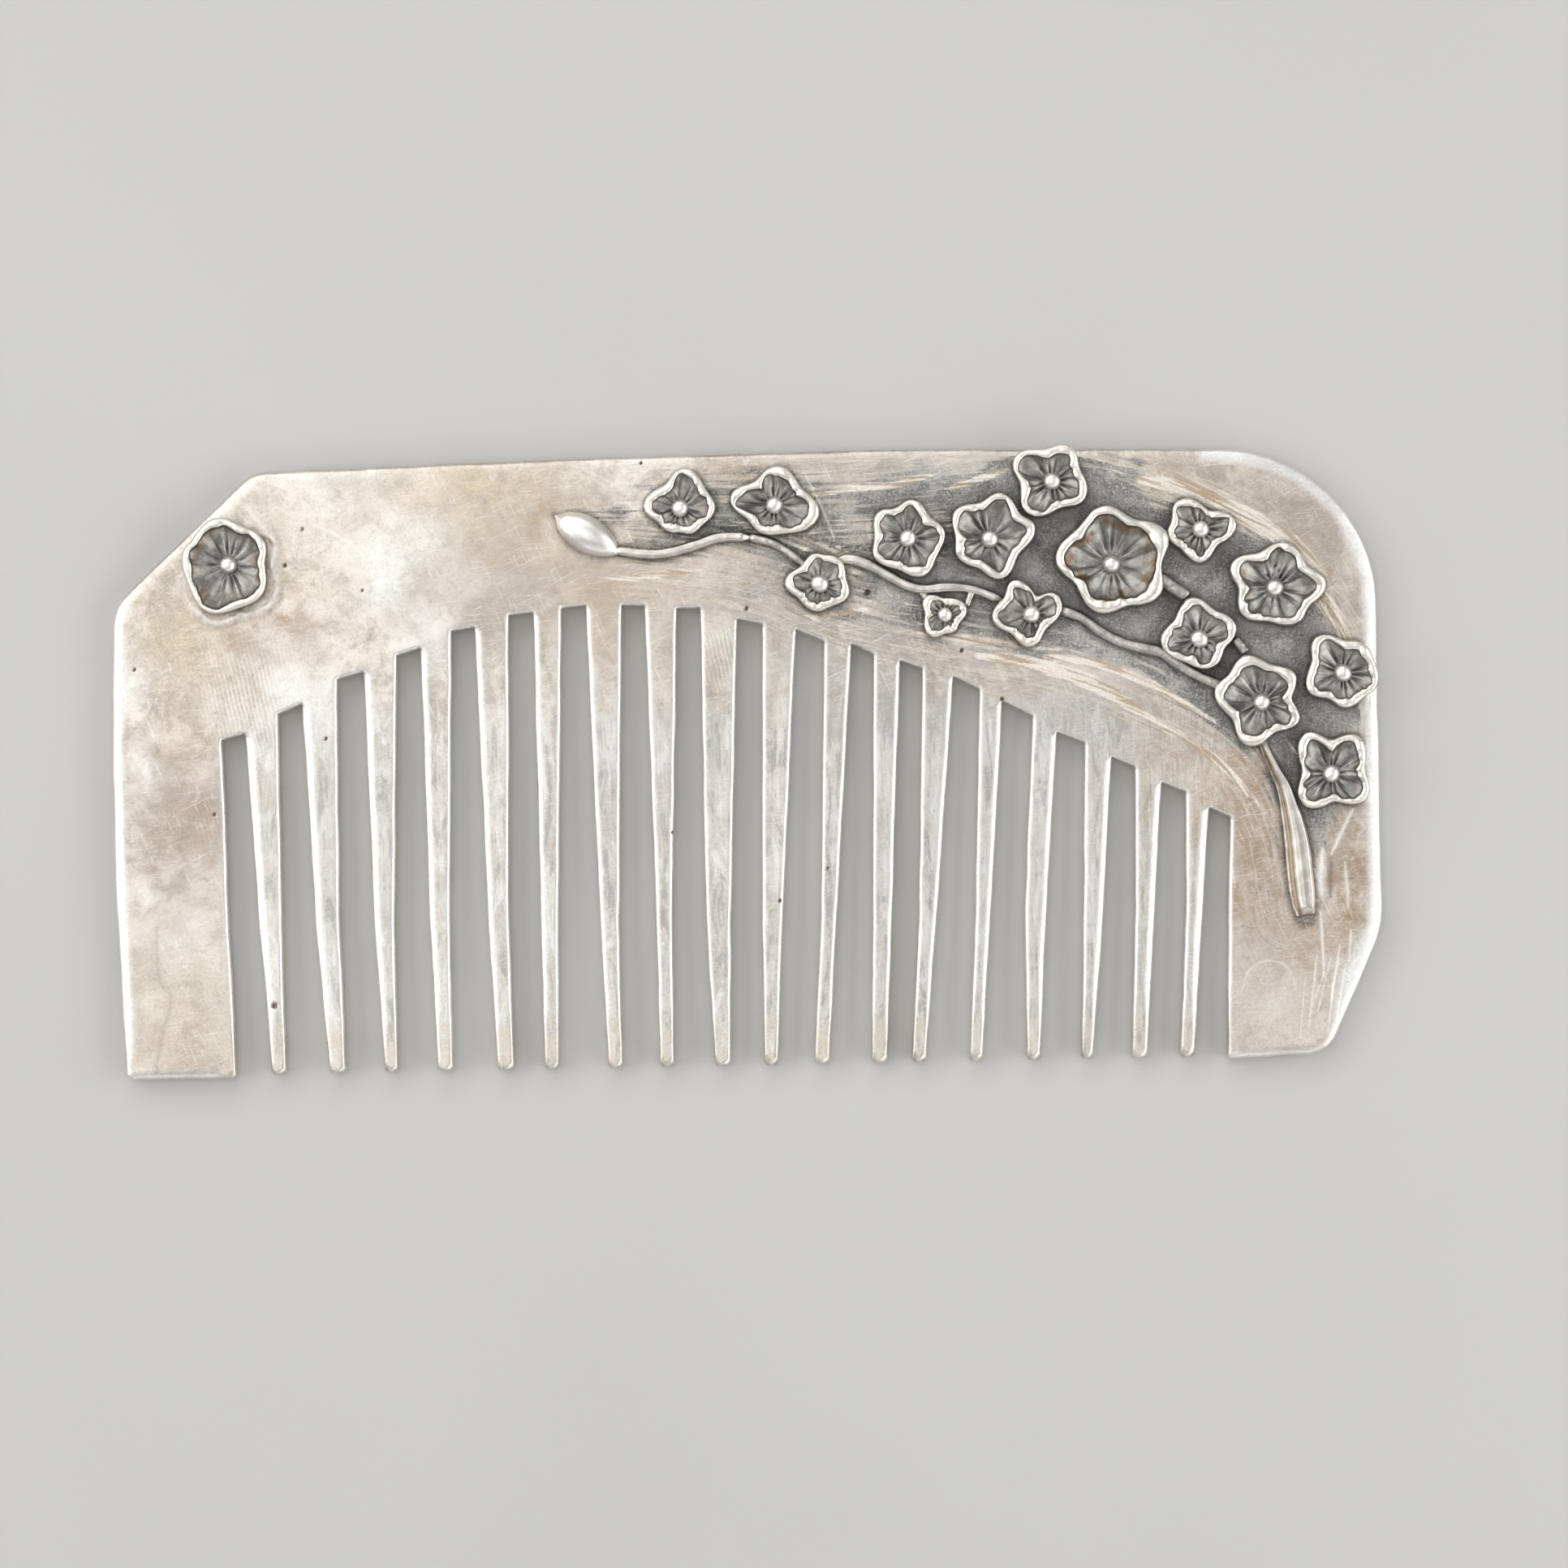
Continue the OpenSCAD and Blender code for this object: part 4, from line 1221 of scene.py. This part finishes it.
def build_blossom(b):
    rng = np.random.default_rng(SEED * 100 + b.number)
    a = np.linspace(0, 360, TURNS, endpoint=False)
    ax, ay = toward(a)
    outer = b.reach(a)
    wobble = wave_noise(ax * 3 + 5 * b.number, ay * 3 + 2, 2)
    small = min(1.0, b.mean / 3.2)
    rim_w = RIM_W * (0.7 + 0.3 * small) * (1 + 0.42 * wobble) * (0.78 if b.number == 1 else 1)
    for turn, extra, spread in FOLDS.get(b.number, []):
        rim_w = rim_w + extra * bell(turn_gap(a, turn), spread)
    folded = np.clip(rim_w - 0.6, 0, 1)
    crest = b.high * (1 + 0.06 * wobble) - 0.06
    inner = outer - rim_w - LIP_W
    stained = STAINS.get(b.number, FAINT_STAIN)

    # Pleats fan out between the creases
    creases = crease_fan(b, rng)
    turns = creases[0]
    left = np.searchsorted(turns, a, side="right") - 1
    right = (left + 1) % len(turns)
    fan_width = turn_gap(turns[right], turns[left]) % 360
    fan = np.clip(turn_gap(a, turns[left]) % 360 / fan_width, 0, 1)
    pleat = np.sin(np.pi * fan) ** 0.75
    uneven = np.clip(1 + 0.9 * wave_noise(ax * 1.6 + 3 * b.number, ay * 1.6, 2), 0.25, 1.5)

    rows = []
    marks = {"rim": [], "deep": [], "ridge": [], "stain": [], "wall": []}

    def ring(radius, height, **shares):
        z = SHEET_T + np.broadcast_to(height, a.shape)
        rows.append(np.column_stack([b.centre[0] + radius * ax, b.centre[1] + radius * ay, z]))
        for key, store in marks.items():
            store.append(np.broadcast_to(shares.get(key, 0.0), a.shape))

    floor_z = 0.27 * b.high
    for share in np.linspace(0.06, 1, FLOOR_RINGS):
        radius = inner * share
        lift = floor_z + (crest - 0.12 - floor_z) * (0.40 * share ** 1.3 + 0.40 * share ** 4)
        reach = smooth_step(0.16, 0.42, share) * (1 - 0.65 * smooth_step(0.72, 1.0, share)) * uneven
        line = crease_lines(a, radius, share, creases)
        holes = pin_holes(b, a, radius, share, inner)
        lumps = wave_noise(radius * ax * 1.5 + b.number, radius * ay * 1.5)
        height = lift + reach * small * (0.15 * pleat - 0.09) - 0.06 * line + 0.03 * lumps - 0.08 * holes
        ring(
            radius,
            height,
            deep=np.clip(0.62 * line + 0.4 * bell(share - 0.24, 0.06) + 1.2 * holes, 0, 1),
            ridge=np.clip(reach * (1.4 * pleat - 0.55), 0, 1) * (1 - 0.55 * smooth_step(0.7, 1.0, share)),
            stain=np.clip(stained * smooth_step(0.66, 0.96, share), 0, 1),
        )
    # Steep inner lip, rubbed flat top, rounded outer edge, and the wall down to the sheet, which carries
    # painted shade
    ring(outer - rim_w - 0.05, crest - 0.13, rim=0.25, ridge=0.3, stain=min(1, 0.6 * stained))
    ring(outer - rim_w, crest - 0.01, rim=0.9)
    for share, rise, fold in ((0.75, 0.02, 0.10), (0.42, 0.02, 0.13), (0.2, -0.03, 0.04)):
        ring(outer - share * rim_w, crest + rise + fold * folded, rim=1.0)
    ring(outer - 0.06, crest - 0.14, rim=0.9)
    ring(outer, crest - 0.30, rim=0.45, wall=0.3)
    ring(outer - 0.05, 0.52 * crest, wall=0.8)
    ring(outer * 0.93, 0.2 * crest, wall=1.0)
    ring(outer * 0.90, -0.15, wall=1.0)

    # Closed at the middle of the floor and under the cup
    points = np.vstack([*rows, [*b.centre, SHEET_T + floor_z], [*b.centre, SHEET_T - 0.15]])
    top, bottom = len(points) - 2, len(points) - 1
    last = (len(rows) - 1) * TURNS
    faces = quads(len(rows) - 1, TURNS, ((0, 1), (0, 0), (1, 0), (1, 1)))
    for i in range(TURNS):
        j = (i + 1) % TURNS
        faces.append([top, i, j])
        faces.append([bottom, last + j, last + i])
    closing = {"deep": (0.7, 0), "wall": (0, 1)}
    attributes = {k: np.concatenate([*v, closing.get(k, (0, 0))]) for k, v in marks.items()}
    return make_mesh(
        f"flower_{b.number:02d}", points, faces, blossom_silver, attributes, (b.node,)
    )


def build_stamen(b):
    """A hand-made ball: slightly uneven, flattened on top, sunk a little into the cup."""
    rng = np.random.default_rng(SEED * 200 + b.number)
    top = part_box(b.stamen)[1].z / MM
    r = b.stamen_r
    long_way = rng.uniform(0, math.pi)
    stretch = 1.12 if b.number in (4, 12) else rng.uniform(1.0, 1.05)
    verts, deep = [], []
    rows, columns = 20, 32
    for i in range(rows + 1):
        lat = math.pi * i / rows
        for j in range(columns):
            lon = 2 * math.pi * j / columns
            n = np.array([math.sin(lat) * math.cos(lon), math.sin(lat) * math.sin(lon), math.cos(lat)])
            bump = 1 + 0.03 * float(wave_noise(n[0] * 1.7 + b.number * 3, n[1] * 1.7 + n[2]))
            across = n[0] * math.cos(long_way) + n[1] * math.sin(long_way)
            scale = r * bump * (1 + (stretch - 1) * across * across)
            z = top - r + n[2] * scale - 0.06 * max(0, n[2]) ** 6
            verts.append((b.centre[0] + n[0] * scale, b.centre[1] + n[1] * scale, z))
            # Painted shade on the lower half of the ball
            deep.append(float(smooth_step(0.15, -0.45, n[2])))
    faces = quads(rows, columns, ((0, 0), (1, 0), (1, 1), (0, 1)))
    points, faces, deep = welded(np.array(verts), faces, np.array(deep))
    name = f"bead_{b.number:02d}"
    return make_mesh(name, points, faces, bead_silver, {"deep": deep}, (b.stamen,))


def welded(points, faces, values):
    """Merges points that share a place, and drops faces that fold away."""
    keys = {}
    index = []
    for p in np.round(points, 5).tolist():
        index.append(keys.setdefault(tuple(p), len(keys)))
    first = [index.index(new) for new in range(len(keys))]
    rings = [list(dict.fromkeys(index[i] for i in face)) for face in faces]
    return points[first], [ring for ring in rings if len(ring) > 2], values[first]


# ---- Branch, trunk and bud ----


def swept(name, line, section, material, replaced, keys):
    """A closed bar along a line.

    section(t, width) gives rows of (across, up, values...) for a share t of the bar's length."""
    count = len(line)
    rows, values = [], []
    for i in range(count):
        ahead = line[min(i + 1, count - 1), :2] - line[max(i - 1, 0), :2]
        ahead = ahead / np.hypot(*ahead)
        side = np.array([-ahead[1], ahead[0]])
        shape = section(i / (count - 1), line[i, 2])
        place = line[i, :2] + shape[:, :1] * side
        rows.append(np.column_stack([place, SHEET_T + shape[:, 1]]))
        values.append(shape[:, 2:])
    n = len(rows[0])
    faces = quads(count - 1, n, ((0, 0), (0, 1), (1, 1), (1, 0)))
    faces.append(list(range(n))[::-1])
    faces.append([(count - 1) * n + k for k in range(n)])
    marks = np.vstack(values)
    attributes = {key: marks[:, i] for i, key in enumerate(keys)}
    return make_mesh(name, np.vstack(rows), faces, material, attributes, replaced)


def wire_section(phase, shine):
    """Round wire, soldered on, rubbed flat on its crest, tapering to a point at both ends."""

    def section(t, width):
        taper = min(1, (min(t, 1 - t) * 14 + 0.15)) ** 0.5
        wobble = 1 + 0.05 * float(wave_noise(t * 16 + phase, 0.7, 2))
        r = width / 2 * taper * wobble
        rows = []
        for k in range(17):
            turn = math.radians(215 - 250 * k / 16)
            up = 0.55 * r + min(math.sin(turn), 0.9) * r
            crest = (0.25 + 0.75 * shine) * smooth_step(-0.1, 0.75, math.sin(turn) + 0.25 * math.cos(turn))
            # Painted shade on the wire's lower flanks
            deep = smooth_step(-0.05, -0.5, math.sin(turn))
            rows.append((math.cos(turn) * -r, up if k not in (0, 16) else -0.08, crest, 0, deep))
        return np.array(rows, float)

    return section


TRUNK_SECTION = [
    (-1, -0.1), (-0.98, 0.30), (-0.90, 0.46), (-0.80, 0.42), (-0.70, 0.34), (-0.58, 0.36), (-0.44, 0.58),
    (-0.28, 0.78), (-0.1, 0.90), (0.12, 0.95), (0.30, 0.92), (0.46, 0.91), (0.62, 0.93), (0.76, 0.84),
    (0.90, 0.5), (1, -0.1)
]


def trunk_section(t, width):
    """A ridge with a beaded bright lip and a tan groove along its left side, and a blunt end."""
    across = np.linspace(-1, 1, 49)
    table = np.array(TRUNK_SECTION)
    up = np.interp(across, table[:, 0], table[:, 1])
    up = (np.roll(up, 1) + 2 * up + np.roll(up, -1)) / 4
    up[0] = up[-1] = -0.1
    rise = 0.92 * min(1, (t * 6 + 0.35)) * min(1, (1 - t) * 20 + 0.15) ** 0.5
    beads = 1 + 0.25 * wave_noise(t * 46, 3.0) * bell(across + 0.88, 0.12)
    lines = 0.007 * wave_noise(across * 8, t * 0.4 + 40, 2)
    height = np.where(up > 0, up * rise * beads + lines, up)
    ridge = smooth_step(-0.52, -0.3, across) * (1 - smooth_step(0.84, 0.95, across))
    crest = np.clip(0.2 + 0.8 * ridge + 0.8 * bell(across + 0.88, 0.10) + 14 * lines, 0, 1)
    groove = 0.95 * bell(across + 0.62, 0.14)
    # Painted shade along the trunk's right edge and at its blunt end
    deep = np.maximum(0.8 * smooth_step(0.9, 1.0, across), 0.5 * smooth_step(0.985, 1.0, np.full(49, t)))
    return np.column_stack([across * width / 2, height, crest, groove, deep])


def bud_section(t, width):
    """A smooth seed, highest a little past its middle."""
    rows = []
    r = width / 2
    rise = 1.3 * (width / BUD_W) ** 0.8
    for k in range(25):
        turn = math.radians(200 - 220 * k / 24)
        up = 0.08 + math.sin(turn) * rise if k not in (0, 24) else -0.08
        # The last value paints shade along the bud's lower flanks
        rows.append((math.cos(turn) * -r, up, smooth_step(0.1, -0.3, math.sin(turn))))
    return np.array(rows, float)


# ---- Build ----

plate = build_plate()
for blossom in blossoms:
    build_blossom(blossom)
    build_stamen(blossom)
WIRE_KEYS = ("crest", "groove", "deep")
for order, (wire_name, wire_line) in enumerate(wire_lines.items()):
    shape = wire_section(order * 5.0, WIRE_SHINE.get(wire_name, 0.6))
    swept(f"wire_{wire_name}", wire_line, shape, branch_silver, (wire_name,), WIRE_KEYS)
swept("stem", trunk_line, trunk_section, branch_silver, ("trunk",), WIRE_KEYS)
swept("seed_bud", bud_line, bud_section, bead_silver, ("bud",), ("deep",))


# ---- Floor, light and camera (metres from here on) ----


FLOOR_HALF = 2.0
FLOOR_DROP = -0.02 * MM


def build_floor():
    corners = [(x * FLOOR_HALF, y * FLOOR_HALF, FLOOR_DROP) for x, y in ((-1, -1), (1, -1), (1, 1), (-1, 1))]
    mesh = bpy.data.meshes.new("floor")
    mesh.from_pydata(corners, [], [[0, 1, 2, 3]])
    floor = bpy.data.objects.new("floor", mesh)
    bpy.context.scene.collection.objects.link(floor)
    floor.data.materials.append(floor_material())


def soft_light(name, place, size, radiance):
    """A rectangular area light of a given radiance, aimed at the middle of the comb."""
    light = bpy.data.lights.new(name, "AREA")
    light.shape = "RECTANGLE"
    light.size, light.size_y = size
    light.energy = radiance * math.pi * size[0] * size[1]
    obj = bpy.data.objects.new(name, light)
    obj.location = place
    obj.rotation_euler = (-Vector(place)).to_track_quat("-Z", "Y").to_euler()
    bpy.context.scene.collection.objects.link(obj)


WORLD_LIGHT = 0.32
# Name: place, size, radiance
LIGHTS = {
    "overhead": ((-0.16, 0.10, 0.95), (0.7, 0.62), 1.24),
    "left_box": ((-0.42, 0.06, 0.26), (0.5, 0.34), 2.0),
    "right_box": ((0.44, -0.06, 0.26), (0.62, 0.34), 2.3),
    "front_box": ((0.05, -0.5, 0.3), (0.8, 0.25), 0.9),
    "top_box": ((-0.12, 0.46, 0.36), (0.7, 0.32), 1.6),
}


def build_lights():
    world = bpy.data.worlds.new("studio")
    bpy.context.scene.world = world
    world.use_nodes = True
    background = world.node_tree.nodes["Background"]
    background.inputs["Color"].default_value = (1.0, 1.0, 1.0, 1)
    background.inputs["Strength"].default_value = WORLD_LIGHT
    for name, (place, size, radiance) in LIGHTS.items():
        soft_light(name, place, size, radiance)


# Where the camera looks on the plate, the width that it sees there and its height, in millimetres
CAMERA_AT = (3.27, -2.24)
FRAME_W = 136.06
CAMERA_FAR = 520.0
CAMERA_TURN = -1.1
SENSOR = 36.0


def build_camera():
    """Straight above the comb, with a long lens, turned as in the reference view."""
    data = bpy.data.cameras.new("camera")
    data.sensor_width = SENSOR
    data.lens = SENSOR * CAMERA_FAR / FRAME_W
    data.clip_start = 0.01
    data.clip_end = 10
    camera = bpy.data.objects.new("camera", data)
    camera.location = (CAMERA_AT[0] * MM, CAMERA_AT[1] * MM, (SHEET_T + CAMERA_FAR) * MM)
    camera.rotation_euler = (0, 0, math.radians(CAMERA_TURN))
    bpy.context.scene.collection.objects.link(camera)
    bpy.context.scene.camera = camera


build_floor()
build_lights()
build_camera()
bpy.context.scene.view_settings.view_transform = "Standard"

bpy.context.view_layer.update()
